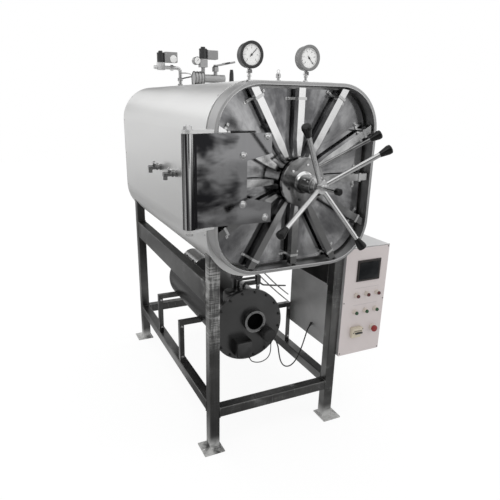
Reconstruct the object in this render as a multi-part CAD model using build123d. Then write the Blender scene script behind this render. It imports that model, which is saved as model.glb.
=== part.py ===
"""Horizontal steam autoclave on a tube frame, with a radial-bar door, a boiler and a control box.

Millimetres, +Z up. The door faces -Y and +X is to the right of a person facing the door.
The origin is at floor level, at the centre of the four anchor holes in the foot plates.
"""
import os
from math import cos, radians, sin, sqrt, tan

from build123d import *

# Frame
FRAME_INSET = 27
FRAME_LENGTH = 1560
TUBE = 60
TUBE_WALL = 3
TUBE_CORNER = 6
FRONT_RAIL_BOTTOM = 205
SIDE_RAIL_BOTTOM = 230
UPPER_RAIL_BOTTOM = 878
UPPER_RAIL_HEIGHT = 122
FOOT_SIDE = 120
FOOT_THICKNESS = 8
FOOT_SHIFT_X = 15
FOOT_SHIFT_Y = 10
ANCHOR_RADIUS = 7
ANCHOR_MARGIN = 16

# Vessel outside: the insulated jacket, a rounded rectangle seen from the front
JACKET_WIDTH = 874
JACKET_HEIGHT = 928
JACKET_CORNER = 229
JACKET_CENTRE_Z = 1505
JACKET_LENGTH = 1700
REAR_COVER = 12
REAR_COVER_ROUND = 8

# Door ring in front of the jacket
RING_SIDE_STEP = 2
RING_TOP_STEP = 5
RING_BOTTOM_STEP = 39
RING_CORNER_STEP = 6
RING_DEPTH = 96
RING_WALL = 16
RING_EDGE = 3
RING_OVERHANG = 35

# Pressure chamber
CHAMBER_INSET = 55
CHAMBER_CORNER_STEP = 49
CHAMBER_WALL = 10
CHAMBER_REAR_INSET = 100
CHAMBER_BACK = 12
SEAT_FLANGE = 20
SEAT_OVERLAP = 10
GASKET_WIDTH = 18
GASKET_THICKNESS = 5.7
GASKET_INSET = 6

# Door
DOOR_GAP = 12
DOOR_PLATE = 22
REST_GAP = 0.3

# Locking bars and their guides
BAR_COUNT = 12
BAR_WIDTH = 34
BAR_DEPTH = 35
BAR_LIFT = 20
BAR_TIP_RADIUS = 78
BAR_TAPER = 112
BAR_TIP_WIDTH = 7
BAR_GAP = 8
BAR_STROKE = 16
POCKET_CLEARANCE = 2
GUIDE_LENGTH = 12
GUIDE_SETBACK = 46
GUIDE_WALL = 4
GUIDE_FOOT_REACH = 36
GUIDE_CLEARANCE = 0.5

# Hub with its grooved disc, cam disc with the lock lever, and star handle
HUB_RADIUS = 43
HUB_LENGTH = 230
HUB_DISC_RADIUS = 115
HUB_DISC = 68
HUB_NECK_RADIUS = 70
HUB_NECK = 19
CAM_DISC = 20
CAM_EDGE = 2
LEVER_ROD_RADIUS = 8
LEVER_ROOT_ANGLE = 40
LEVER_REACH = 376
LEVER_RISE = 113
LEVER_ANGLE = 34
STAR_ARM_COUNT = 4
STAR_ARM_ANGLE = 32.5
STAR_REACH = 294
STAR_RISE = 110
STAR_ARM_RADIUS = 11
STAR_HUB_RADIUS = 29
STAR_HUB_LENGTH = 40
AXIAL_ROD_RADIUS = 10
AXIAL_ROD_LENGTH = 100
KNOB_LENGTH = 56
KNOB_BASE_RADIUS = 12
KNOB_RADIUS = 21
KNOB_ROUND = 9
AXIAL_KNOB_RADIUS = 15
AXIAL_KNOB_LENGTH = 26

# Door hinge
HINGE_OFFSET_X = 125
HINGE_OFFSET_Y = 14
PIN_RADIUS = 15
PIN_CLEARANCE = 0.3
BARREL_RADIUS = 28
YOKE_DROP = 180
YOKE_RISE = 226
YOKE_PLATE = 10
YOKE_STANDOFF = 8
YOKE_UPPER_REACH = 164
YOKE_LOWER_REACH = 158
YOKE_WINDOW_X = 285
YOKE_WINDOW_RISE = 107
YOKE_WINDOW_DROP = 60
YOKE_UPPER_TIP_RISE = 136
YOKE_LOWER_TIP_DROP = 89
LUG_THICKNESS = 14
LUG_GAP = 0.5
LUG_ROOT_FRONT = 11
LUG_ROOT_BACK = 76
PIN_NUT_RADIUS = 19
PIN_NUT_HEIGHT = 15
PIN_TAIL_RADIUS = 16
STUD_RADIUS = 10
STUDS = ((-305, 130), (-304, -87), (-188, 209), (-188, -155))

# Boiler under the vessel
BOILER_RADIUS = 185
BOILER_WALL = 6
BOILER_FLANGE_RADIUS = 218
BOILER_FLANGE = 25
BOILER_X = -100
BOILER_Z = 648
BOILER_SETBACK = 180
BOILER_LENGTH = 930
BOILER_REAR_DISH = 36
PORT_X = 32
PORT_Z = 30
PORT_RADIUS = 50
PORT_RING_RADIUS = 68
PORT_RING = 30
HEATER_BOX_WIDTH = 98
HEATER_BOX_HEIGHT = 96
HEATER_BOX_DEPTH = 60
HEATER_BOX_X = -48
HEATER_BOX_Z = -118
PLUG_RADIUS = 40
PLUG_DEPTH = 62
PLUG_X = 112
PLUG_Z = -62
BRACKET_LEG = 30
BRACKET_WALL = 4
BRACKET_DROP = 77
FRONT_BRACKET_SETBACK = 370
REAR_BRACKET_SETBACK = 840
DRUM_RADIUS = 70
DRUM_LENGTH = 220
DRUM_X = -222
DRUM_Z = 888
DRUM_SETBACK = 385
DRUM_STRAP = 10
DRUM_STRAP_HEIGHT = 60

# Steam riser between boiler and vessel, with its valve and pump head
RISER_RADIUS = 13
RISER_X = -130
RISER_SETBACK = 130
RISER_NUT_RADIUS = 24
RISER_NUT = 26
VALVE_BODY_RADIUS = 22
VALVE_BODY_LENGTH = 62
WHEEL_STEM = 26
WHEEL_STEM_RADIUS = 7
WHEEL_RADIUS = 26
WHEEL_DEPTH = 12
POT_X = -182
POT_SETBACK = 70
POT_RADIUS = 42
POT_RISE = 22
POT_HEIGHT = 90
POT_ROUND = 14
PIPE_X = -60
PIPE_SETBACK = 150
PIPE_END_X = 34
PIPE_RADIUS = 8
PIPE_BEND = 18
PIPE_RISE = 15
PIPE_SPACING = 28
FEED_BLOCK = 26

# Cables under the boiler
CABLE = 8
THIN_CABLE = 6
BEND_SHARE = 0.45
LOOP_DROP = 70
SUPPLY_DROP = 302
SUPPLY_SHIFT = 110

# Control box on the outside of the right-hand legs
BOX_WIDTH = 300
BOX_DEPTH = 572
BOX_BOTTOM = 433
BOX_HEIGHT = 675
BOX_FRONT_OVERHANG = 18
BOX_EDGE = 4
PANEL_SHEET = 3
SCREEN_WIDTH = 164
SCREEN_HEIGHT = 128
SCREEN_DEPTH = 7
SCREEN_LEFT = 81
SCREEN_TOP_MARGIN = 79
LAMP_RADIUS = 14.5
LAMP_LENS_RADIUS = 11
LAMP_HEIGHT = 14
LAMP_COLUMNS = (90, 165, 240)
LAMP_ROW = 384
BUTTON_ROW = 278
BUTTON_HEIGHT = 18
BREAKER_WIDTH = 72
BREAKER_HEIGHT = 72
BREAKER_DEPTH = 38
BREAKER_X = 108
BREAKER_Z = 148
STOP_RADIUS = 23
STOP_STEM_RADIUS = 14
STOP_HEIGHT = 36
STOP_X = 232
STOP_Z = 155

# Pressure gauges and fittings on top of the jacket
GAUGE_RADIUS = 55
GAUGE_DEPTH = 52
GAUGE_DIAL_RADIUS = 48
GAUGE_HEIGHT = 98
GAUGE_LEFT_X = -247
GAUGE_RIGHT_X = 42
GAUGE_OVERHANG = 35
GAUGE_STEM_RADIUS = 7
SAFETY_VALVE_X = 15
SAFETY_VALVE_SETBACK = 175

# Steam inlet and vent valves on top of the jacket, towards the rear
TOP_PIPE_RADIUS = 12
STEAM_PIPE_SETBACK = 1375
STEAM_PIPE_X = -95
STEAM_PIPE_REACH = 185
STEAM_PIPE_RISE = 123
UNION_RADIUS = 19
UNION_HEIGHT = 20
UNION_SETBACK = 70
VALVE_BLOCK = 48
COIL_RADIUS = 24
COIL_HEIGHT = 60
COIL_CAP = 10
SWITCH_BOX = (88, 56, 66)
RELAY_BOX = (70, 50, 52)
VENT_X = -62
VENT_SETBACK = 1015
VENT_RISE = 135
TRAP_RADIUS = 40
TRAP_LENGTH = 62
STRAINER_RADIUS = 25
STRAINER_LENGTH = 145
SMALL_GAUGE_RADIUS = 23
SMALL_GAUGE_DEPTH = 26
SMALL_PIPE_RADIUS = 6
BALL_VALVE_SHIFT = 84
BALL_VALVE_RISE = 129
BALL_HANDLE = 136
HORN_X = 135
HORN_RADIUS = 30
HORN_HEIGHT = 104
SAFETY_RADIUS = 12
SAFETY_HEIGHT = 46

# Side cocks on the left of the jacket
COCK_Y = (-385, -85)
COCK_RISE = 3
COCK_REACH = 78
COCK_RADIUS = 13

frame_width = JACKET_WIDTH - 2 * FRAME_INSET
frame_front = -FRAME_LENGTH / 2
frame_half = frame_width / 2
leg_x = frame_half - TUBE / 2
leg_y = FRAME_LENGTH / 2 - TUBE / 2
jacket_front = frame_front - RING_OVERHANG
jacket_rear = jacket_front + JACKET_LENGTH
jacket_top = JACKET_CENTRE_Z + JACKET_HEIGHT / 2
jacket_bottom = JACKET_CENTRE_Z - JACKET_HEIGHT / 2
ring_width = JACKET_WIDTH - 2 * RING_SIDE_STEP
ring_height = JACKET_HEIGHT - RING_TOP_STEP - RING_BOTTOM_STEP
ring_corner = JACKET_CORNER - RING_CORNER_STEP
ring_centre_z = jacket_bottom + RING_BOTTOM_STEP + ring_height / 2
ring_front = jacket_front - RING_DEPTH
opening_width = ring_width - 2 * RING_WALL
opening_height = ring_height - 2 * RING_WALL
opening_corner = ring_corner - RING_WALL
chamber_width = ring_width - 2 * CHAMBER_INSET
chamber_height = ring_height - 2 * CHAMBER_INSET
chamber_corner = ring_corner - CHAMBER_CORNER_STEP
door_back = jacket_front - GASKET_THICKNESS - REST_GAP
door_face = door_back - DOOR_PLATE
bar_back = door_face - BAR_LIFT
bar_front = bar_back - BAR_DEPTH
disc_front = door_face - HUB_DISC
cam_back = disc_front - HUB_NECK
hub_front = door_face - HUB_LENGTH
boiler_front = frame_front + BOILER_SETBACK
drum_front = boiler_front + DRUM_SETBACK
hinge_x = -ring_width / 2 - HINGE_OFFSET_X
hinge_y = ring_front - HINGE_OFFSET_Y
yoke_bottom = ring_centre_z - YOKE_DROP
yoke_top = ring_centre_z + YOKE_RISE

nodes = {}


def centred_box(x, y, z, dx, dy, dz):
    """Box by its centre and full sizes."""
    return Pos(x, y, z) * Box(dx, dy, dz)


def rod(start, end, radius):
    """Round rod from one point to another."""
    path = Vector(*end) - Vector(*start)
    plane = Plane(origin=start, z_dir=path)
    return plane * Cylinder(radius, path.length, align=(Align.CENTER, Align.CENTER, Align.MIN))


def rounded_prism(width, height, corner, centre_z, y_from, y_to, centre_x=0):
    """Rounded rectangle facing the door side, extruded along Y."""
    plane = Plane(origin=(centre_x, y_from, centre_z), x_dir=(1, 0, 0), z_dir=(0, 1, 0))
    return extrude(plane * RectangleRounded(width, height, corner), y_to - y_from)


def square_tube(length, depth=TUBE):
    """Upright hollow tube standing on the origin, TUBE wide in X and depth wide in Y."""
    outside = RectangleRounded(TUBE, depth, TUBE_CORNER)
    inside = RectangleRounded(TUBE - 2 * TUBE_WALL, depth - 2 * TUBE_WALL, TUBE_CORNER - TUBE_WALL)
    return extrude(outside - inside, length)


def turned(profile, origin, direction):
    """Body of revolution: profile holds (radius, height) points, height runs along direction."""
    face = Plane.XZ * make_face(Polyline(*profile, close=True))
    return Plane(origin=origin, z_dir=direction) * revolve(face, Axis.Z)


def wall_distance(angle):
    """Distance from the ring's centre to the wall of its opening, along an angle in degrees."""
    ux, uz = abs(cos(radians(angle))), abs(sin(radians(angle)))
    half_x, half_z = opening_width / 2, opening_height / 2
    corner_x, corner_z = half_x - opening_corner, half_z - opening_corner
    side = half_x / ux if ux > 1e-9 else float("inf")
    if side * uz <= corner_z:
        return side
    top = half_z / uz if uz > 1e-9 else float("inf")
    if top * ux <= corner_x:
        return top
    along = ux * corner_x + uz * corner_z
    return along + sqrt(along ** 2 - corner_x ** 2 - corner_z ** 2 + opening_corner ** 2)


def radial_plane(angle, y):
    """Plane whose X runs outward from the ring's centre at angle, and whose Z faces the viewer."""
    return Plane(origin=(0, y, ring_centre_z), x_dir=(cos(radians(angle)), 0, sin(radians(angle))),
                 z_dir=(0, -1, 0))


def make_frame():
    jacket = rounded_prism(JACKET_WIDTH + 2 * REST_GAP, JACKET_HEIGHT + 2 * REST_GAP,
                           JACKET_CORNER + REST_GAP, JACKET_CENTRE_Z, jacket_front - 1, jacket_rear + 1)
    corner_reach = leg_x + TUBE / 2 - (JACKET_WIDTH / 2 - JACKET_CORNER)
    leg_top = jacket_bottom + JACKET_CORNER - sqrt(JACKET_CORNER ** 2 - corner_reach ** 2)
    upright = square_tube(leg_top - FOOT_THICKNESS)
    plate = Box(FOOT_SIDE, FOOT_SIDE, FOOT_THICKNESS, align=(Align.CENTER, Align.CENTER, Align.MIN))
    hole = Cylinder(ANCHOR_RADIUS, 3 * FOOT_THICKNESS)
    for side, sx in (("left", -1), ("right", 1)):
        foot = plate - Pos(sx * (FOOT_SIDE / 2 - ANCHOR_MARGIN), 0, 0) * hole
        for end, sy in (("front", -1), ("rear", 1)):
            leg = Pos(sx * leg_x, sy * leg_y, FOOT_THICKNESS) * upright - jacket
            shift = Pos(sx * (leg_x + FOOT_SHIFT_X), sy * (leg_y + FOOT_SHIFT_Y), 0)
            nodes[f"leg_{end}_{side}"] = leg + shift * foot

    cross = frame_width - 2 * TUBE
    along = FRAME_LENGTH - 2 * TUBE
    cross_rail = Rot(0, 90, 0) * square_tube(cross)
    side_rail = Rot(-90, 0, 0) * square_tube(along)
    lower = [
        Pos(-cross / 2, -leg_y, FRONT_RAIL_BOTTOM + TUBE / 2) * cross_rail,
        Pos(-cross / 2, leg_y, SIDE_RAIL_BOTTOM + TUBE / 2) * cross_rail,
        Pos(-leg_x, -along / 2, SIDE_RAIL_BOTTOM + TUBE / 2) * side_rail,
        Pos(leg_x, -along / 2, SIDE_RAIL_BOTTOM + TUBE / 2) * side_rail,
    ]
    nodes["lower_rails"] = Compound(lower)
    deep_rail = Rot(-90, 0, 0) * square_tube(along, UPPER_RAIL_HEIGHT)
    rail_z = UPPER_RAIL_BOTTOM + UPPER_RAIL_HEIGHT / 2
    nodes["upper_rails"] = Compound([Pos(sx * leg_x, -along / 2, rail_z) * deep_rail for sx in (-1, 1)])


def make_vessel():
    seat_width = opening_width + 2 * SEAT_OVERLAP
    seat_height = opening_height + 2 * SEAT_OVERLAP
    seat_corner = opening_corner + SEAT_OVERLAP
    jacket = rounded_prism(JACKET_WIDTH, JACKET_HEIGHT, JACKET_CORNER, JACKET_CENTRE_Z,
                           jacket_front, jacket_rear - REAR_COVER)
    bore = rounded_prism(seat_width + 2 * REST_GAP, seat_height + 2 * REST_GAP, seat_corner + REST_GAP,
                         ring_centre_z, jacket_front - 1, jacket_rear)
    nodes["jacket_cladding"] = jacket - bore
    cover = rounded_prism(JACKET_WIDTH, JACKET_HEIGHT, JACKET_CORNER, JACKET_CENTRE_Z,
                          jacket_rear - REAR_COVER, jacket_rear)
    rim = cover.faces().sort_by(Axis.Y)[-1].edges()
    nodes["rear_end"] = fillet(rim, REAR_COVER_ROUND)

    shell_width = chamber_width + 2 * CHAMBER_WALL
    shell_height = chamber_height + 2 * CHAMBER_WALL
    shell_corner = chamber_corner + CHAMBER_WALL
    shell_rear = jacket_rear - CHAMBER_REAR_INSET
    shell = rounded_prism(shell_width, shell_height, shell_corner, ring_centre_z, jacket_front, shell_rear)
    seat = rounded_prism(seat_width, seat_height, seat_corner, ring_centre_z,
                         jacket_front, jacket_front + SEAT_FLANGE)
    hollow = rounded_prism(chamber_width, chamber_height, chamber_corner, ring_centre_z,
                           jacket_front - 1, shell_rear + 1)
    nodes["chamber_shell"] = shell + seat - hollow
    nodes["chamber_back"] = rounded_prism(shell_width, shell_height, shell_corner, ring_centre_z,
                                          shell_rear, shell_rear + CHAMBER_BACK)
    outer = GASKET_INSET + GASKET_WIDTH
    gasket = rounded_prism(chamber_width + 2 * outer, chamber_height + 2 * outer, chamber_corner + outer,
                           ring_centre_z, jacket_front - GASKET_THICKNESS, jacket_front)
    inside = rounded_prism(chamber_width + 2 * GASKET_INSET, chamber_height + 2 * GASKET_INSET,
                           chamber_corner + GASKET_INSET, ring_centre_z,
                           jacket_front - GASKET_THICKNESS - 1, jacket_front + 1)
    nodes["door_gasket"] = gasket - inside

    ring = rounded_prism(ring_width, ring_height, ring_corner, ring_centre_z, ring_front, jacket_front)
    ring = fillet(ring.faces().sort_by(Axis.Y)[0].edges(), RING_EDGE)
    ring -= rounded_prism(opening_width, opening_height, opening_corner, ring_centre_z,
                          ring_front - 1, jacket_front + 1)
    pocket_depth = BAR_STROKE - BAR_GAP + POCKET_CLEARANCE
    reach = rounded_prism(opening_width + 2 * pocket_depth, opening_height + 2 * pocket_depth,
                          opening_corner + pocket_depth, ring_centre_z,
                          bar_front - POCKET_CLEARANCE, bar_back + POCKET_CLEARANCE)
    for k in range(BAR_COUNT):
        strip = Rectangle(ring_width, BAR_WIDTH + 2 * POCKET_CLEARANCE, align=(Align.MIN, Align.CENTER))
        plane = radial_plane(360 / BAR_COUNT * k, bar_back + POCKET_CLEARANCE)
        ring -= extrude(plane * strip, BAR_DEPTH + 2 * POCKET_CLEARANCE) & reach
    nodes["door_ring"] = ring


def make_door():
    width = opening_width - 2 * DOOR_GAP
    height = opening_height - 2 * DOOR_GAP
    corner = opening_corner - DOOR_GAP
    plate = rounded_prism(width, height, corner, ring_centre_z, door_face, door_back)
    nodes["door_plate"] = plate

    inner = rounded_prism(opening_width - 2 * BAR_GAP, opening_height - 2 * BAR_GAP,
                          opening_corner - BAR_GAP, ring_centre_z, bar_front - 1, bar_back + 1)
    half = BAR_WIDTH / 2
    outline = Polyline((BAR_TIP_RADIUS, -BAR_TIP_WIDTH / 2), (BAR_TIP_RADIUS + BAR_TAPER, -half),
                       (ring_width, -half), (ring_width, half), (BAR_TIP_RADIUS + BAR_TAPER, half),
                       (BAR_TIP_RADIUS, BAR_TIP_WIDTH / 2), close=True)
    guides = []
    foot = half + GUIDE_CLEARANCE + GUIDE_WALL + GUIDE_FOOT_REACH
    outer = half + GUIDE_CLEARANCE + GUIDE_WALL
    top = BAR_LIFT + BAR_DEPTH + GUIDE_CLEARANCE + GUIDE_WALL
    hat = Polyline((-foot, 0), (foot, 0), (foot, GUIDE_WALL), (outer, GUIDE_WALL), (outer, top),
                   (-outer, top), (-outer, GUIDE_WALL), (-foot, GUIDE_WALL), close=True)
    window = Pos(0, BAR_LIFT + BAR_DEPTH / 2) * Rectangle(BAR_WIDTH + 2 * GUIDE_CLEARANCE,
                                                          BAR_DEPTH + 2 * GUIDE_CLEARANCE)
    for k in range(BAR_COUNT):
        angle = 360 / BAR_COUNT * k
        bar = extrude(radial_plane(angle, bar_back) * make_face(outline), BAR_DEPTH) & inner
        nodes[f"bar_{k + 1:02d}"] = bar
        seat = wall_distance(angle) - BAR_GAP - GUIDE_SETBACK - GUIDE_LENGTH / 2
        ux, uz = cos(radians(angle)), sin(radians(angle))
        section = Plane(origin=(seat * ux, door_face, ring_centre_z + seat * uz), x_dir=(-uz, 0, ux),
                        z_dir=(ux, 0, uz))
        across = section * (make_face(hat) - window)
        guides.append(extrude(across, GUIDE_LENGTH))
    nodes["bar_guides"] = Compound(guides)

    hub = rod((0, door_face, ring_centre_z), (0, disc_front, ring_centre_z), HUB_DISC_RADIUS)
    groove = offset(make_face(outline), POCKET_CLEARANCE, kind=Kind.INTERSECTION)
    for k in range(BAR_COUNT):
        plane = radial_plane(360 / BAR_COUNT * k, bar_back + POCKET_CLEARANCE)
        hub -= extrude(plane * groove, HUB_DISC)
    hub += rod((0, disc_front, ring_centre_z), (0, cam_back + REST_GAP, ring_centre_z), HUB_NECK_RADIUS)
    hub += rod((0, door_face, ring_centre_z), (0, hub_front, ring_centre_z), HUB_RADIUS)
    nodes["hub_barrel"] = hub


def knob(tip, direction):
    """Tapered hand knob whose small end starts at tip and points along direction."""
    profile = [(0, 0), (KNOB_BASE_RADIUS, 0), (KNOB_RADIUS, KNOB_LENGTH * 0.72)]
    for step in range(1, 5):
        turn = radians(90 * step / 4)
        profile.append((KNOB_RADIUS - KNOB_ROUND + KNOB_ROUND * cos(turn),
                        KNOB_LENGTH - KNOB_ROUND + KNOB_ROUND * sin(turn)))
    profile.append((0, KNOB_LENGTH))
    return turned(profile, tip, direction)


def arm_points(angle, root_y, reach, rise):
    """Root on the hub axis, and tip, of an arm that leans forward as it runs outward."""
    ux, uz = cos(radians(angle)), sin(radians(angle))
    root = Vector(0, root_y, ring_centre_z)
    tip = Vector(reach * ux, root_y - rise, ring_centre_z + reach * uz)
    return root, tip


def make_handles():
    cam = turned([(HUB_RADIUS + PIN_CLEARANCE, 0), (HUB_DISC_RADIUS, 0), (HUB_DISC_RADIUS, CAM_DISC - CAM_EDGE),
                  (HUB_DISC_RADIUS - CAM_EDGE, CAM_DISC), (HUB_RADIUS + PIN_CLEARANCE, CAM_DISC)],
                 (0, cam_back, ring_centre_z), (0, -1, 0))
    cam_middle = cam_back - CAM_DISC / 2
    tip = arm_points(LEVER_ANGLE, cam_middle, LEVER_REACH, LEVER_RISE)[1]
    root_reach = HUB_DISC_RADIUS - 2 * LEVER_ROD_RADIUS
    root = arm_points(LEVER_ROOT_ANGLE, cam_middle, root_reach, 0)[1]
    way = (tip - root).normalized()
    grip = tip - way * (KNOB_LENGTH / 2)
    lever = cam + rod(root, grip, LEVER_ROD_RADIUS)
    nodes["lock_lever"] = lever
    nodes["lever_knob"] = knob(grip, way)

    star_back = hub_front - REST_GAP
    star_y = star_back - STAR_HUB_LENGTH / 2
    star = rod((0, star_back, ring_centre_z), (0, star_back - STAR_HUB_LENGTH, ring_centre_z),
               STAR_HUB_RADIUS)
    end_y = star_back - STAR_HUB_LENGTH - AXIAL_ROD_LENGTH
    star += rod((0, star_y, ring_centre_z), (0, end_y, ring_centre_z), AXIAL_ROD_RADIUS)
    knobs = []
    for k in range(STAR_ARM_COUNT):
        angle = STAR_ARM_ANGLE + 360 / STAR_ARM_COUNT * k
        root, tip = arm_points(angle, star_y, STAR_REACH, STAR_RISE)
        way = (tip - root).normalized()
        grip = tip - way * (KNOB_LENGTH / 2)
        star += rod(root, grip, STAR_ARM_RADIUS)
        knobs.append(knob(grip, way))
    cap = turned([(0, 0), (AXIAL_KNOB_RADIUS, 0), (AXIAL_KNOB_RADIUS, AXIAL_KNOB_LENGTH - 4),
                  (AXIAL_KNOB_RADIUS - 4, AXIAL_KNOB_LENGTH), (0, AXIAL_KNOB_LENGTH)],
                 (0, end_y, ring_centre_z), (0, -1, 0))
    nodes["star_handle"] = star
    nodes["star_knobs"] = Compound([*knobs, cap])


def make_hinge():
    yoke_back = ring_front - YOKE_STANDOFF
    plane = Plane(origin=(0, yoke_back, 0), x_dir=(1, 0, 0), z_dir=(0, -1, 0))
    left = hinge_x
    window_top = ring_centre_z + YOKE_WINDOW_RISE
    window_bottom = ring_centre_z - YOKE_WINDOW_DROP
    upper_tip = ring_centre_z + YOKE_UPPER_TIP_RISE
    lower_tip = ring_centre_z - YOKE_LOWER_TIP_DROP
    outline = Polyline((left, yoke_bottom), (-YOKE_LOWER_REACH, yoke_bottom), (-YOKE_LOWER_REACH, lower_tip),
                       (-YOKE_WINDOW_X, window_bottom), (-YOKE_WINDOW_X, window_top),
                       (-YOKE_UPPER_REACH, upper_tip), (-YOKE_UPPER_REACH, yoke_top), (left, yoke_top),
                       close=True)
    plate = extrude(plane * make_face(outline), YOKE_PLATE)
    barrel = rod((hinge_x, hinge_y, yoke_bottom), (hinge_x, hinge_y, yoke_top), BARREL_RADIUS)
    bore = rod((hinge_x, hinge_y, yoke_bottom - 1), (hinge_x, hinge_y, yoke_top + 1),
               PIN_RADIUS + PIN_CLEARANCE)
    yoke = plate + barrel - bore
    for x, z in STUDS:
        yoke += rod((x, door_face, ring_centre_z + z), (x, yoke_back, ring_centre_z + z), STUD_RADIUS)
    nodes["hinge_yoke"] = yoke

    lugs = []
    root_front = ring_front + LUG_ROOT_FRONT
    root_back = ring_front + LUG_ROOT_BACK
    ring_side = -ring_width / 2
    slope = Vector(ring_side - hinge_x, (root_front + root_back) / 2 - hinge_y, 0).normalized()
    side = Vector(-slope.Y, slope.X, 0) * BARREL_RADIUS
    ring_outside = rounded_prism(ring_width + 2 * REST_GAP, ring_height + 2 * REST_GAP,
                                 ring_corner + REST_GAP, ring_centre_z, ring_front - 1, jacket_front + 1)
    for bottom in (yoke_bottom - LUG_GAP - LUG_THICKNESS, yoke_top + LUG_GAP):
        web = Polyline((hinge_x + side.X, hinge_y + side.Y), (hinge_x - side.X, hinge_y - side.Y),
                       (ring_side + ring_corner / 8, root_front), (ring_side + ring_corner / 8, root_back),
                       close=True)
        shape = make_face(web) + Pos(hinge_x, hinge_y) * Circle(BARREL_RADIUS)
        shape -= Pos(hinge_x, hinge_y) * Circle(PIN_RADIUS + REST_GAP)
        lugs.append(extrude(Plane.XY.offset(bottom) * shape, LUG_THICKNESS) - ring_outside)
    nodes["hinge_lugs"] = Compound(lugs)

    low = yoke_bottom - LUG_GAP - LUG_THICKNESS
    high = yoke_top + LUG_GAP + LUG_THICKNESS
    pin = rod((hinge_x, hinge_y, low), (hinge_x, hinge_y, high), PIN_RADIUS)
    pin += Pos(hinge_x, hinge_y, high) * extrude(RegularPolygon(PIN_NUT_RADIUS, 6), PIN_NUT_HEIGHT)
    pin += rod((hinge_x, hinge_y, low - PIN_NUT_HEIGHT), (hinge_x, hinge_y, low), PIN_TAIL_RADIUS)
    nodes["hinge_pin"] = pin


def make_boiler():
    axis = Vector(BOILER_X, 0, BOILER_Z)
    front = boiler_front
    shell_front = front + BOILER_FLANGE
    shell_rear = front + BOILER_LENGTH

    def along(radius, y_from, y_to, dx=0, dz=0):
        return rod((axis.X + dx, y_from, axis.Z + dz), (axis.X + dx, y_to, axis.Z + dz), radius)

    nodes["boiler_shell"] = along(BOILER_RADIUS, shell_front, shell_rear) - along(
        BOILER_RADIUS - BOILER_WALL, shell_front - 1, shell_rear + 1)
    flange = along(BOILER_FLANGE_RADIUS, front, shell_front)
    flange += along(PORT_RING_RADIUS, front - PORT_RING, front, PORT_X, PORT_Z)
    nodes["boiler_front_flange"] = flange - along(
        PORT_RADIUS, front - PORT_RING - 1, front + BOILER_FLANGE * 0.7, PORT_X, PORT_Z)
    dish = turned([(0, 0), (BOILER_RADIUS, 0), (BOILER_RADIUS, BOILER_REAR_DISH * 0.3),
                   (BOILER_RADIUS * 0.8, BOILER_REAR_DISH * 0.75), (BOILER_RADIUS * 0.45, BOILER_REAR_DISH),
                   (0, BOILER_REAR_DISH)], (axis.X, shell_rear, axis.Z), (0, 1, 0))
    nodes["boiler_rear_end"] = dish

    box = centred_box(axis.X + HEATER_BOX_X, front - HEATER_BOX_DEPTH / 2, axis.Z + HEATER_BOX_Z,
                      HEATER_BOX_WIDTH, HEATER_BOX_DEPTH, HEATER_BOX_HEIGHT)
    plug = along(PLUG_RADIUS, front - PLUG_DEPTH, front, PLUG_X, PLUG_Z)
    nodes["heater_heads"] = Compound([fillet(box.edges().filter_by(Axis.Y), 6), plug])

    rail_top = SIDE_RAIL_BOTTOM + TUBE
    angle_iron = []
    for sx in (-1, 1):
        bracket_top = axis.Z - BRACKET_DROP
        shell_x = axis.X + sx * sqrt(BOILER_RADIUS ** 2 - BRACKET_DROP ** 2)
        for y in (front + FRONT_BRACKET_SETBACK, front + REAR_BRACKET_SETBACK):
            post_x = sx * (leg_x + BRACKET_LEG / 4)
            post = centred_box(post_x, y, (rail_top + bracket_top) / 2, BRACKET_LEG, BRACKET_LEG,
                               bracket_top - rail_top)
            post -= centred_box(post_x - sx * BRACKET_WALL, y + BRACKET_WALL,
                                (rail_top + bracket_top) / 2, BRACKET_LEG, BRACKET_LEG,
                                bracket_top - rail_top + 2)
            inner_x = shell_x - sx * BRACKET_LEG / 2
            outer_x = post_x + sx * BRACKET_LEG / 2
            arm = centred_box((inner_x + outer_x) / 2, y, bracket_top - BRACKET_LEG / 2,
                              abs(outer_x - inner_x), BRACKET_LEG, BRACKET_LEG)
            arm -= centred_box((inner_x + outer_x) / 2, y + BRACKET_WALL,
                               bracket_top - BRACKET_LEG / 2 - BRACKET_WALL,
                               abs(outer_x - inner_x) + 2, BRACKET_LEG, BRACKET_LEG)
            angle_iron.append(post + arm - along(BOILER_RADIUS + REST_GAP, shell_front, shell_rear))
    nodes["boiler_brackets"] = Compound(angle_iron)

    drum = rod((DRUM_X, drum_front, DRUM_Z), (DRUM_X, drum_front + DRUM_LENGTH, DRUM_Z), DRUM_RADIUS)
    rail_inside = -leg_x + TUBE / 2
    strap_top = UPPER_RAIL_BOTTOM + DRUM_STRAP_HEIGHT
    straps = []
    for share in (0.25, 0.75):
        strap = centred_box((rail_inside + DRUM_X) / 2, drum_front + DRUM_LENGTH * share,
                            strap_top - DRUM_STRAP_HEIGHT / 2, DRUM_X - rail_inside, DRUM_STRAP,
                            DRUM_STRAP_HEIGHT)
        straps.append(strap - rod((DRUM_X, drum_front - 1, DRUM_Z), (DRUM_X, drum_front + DRUM_LENGTH + 1,
                                                                     DRUM_Z), DRUM_RADIUS + REST_GAP))
    nodes["condensate_drum"] = Compound([drum, *straps])
    make_boiler_fittings(axis, along(BOILER_RADIUS + REST_GAP, shell_front, shell_rear))


def hexagon(x, y, z, radius, height):
    """Upright hexagonal nut standing at z."""
    return Pos(x, y, z) * extrude(RegularPolygon(radius, 6), height)


def swept(points, radius, bend):
    """Round pipe along points, with the bend radius, or one radius per corner."""
    path = FilletPolyline(*points, radius=bend)
    return sweep(Plane(origin=path @ 0, z_dir=path % 0) * Circle(radius), path)


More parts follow.
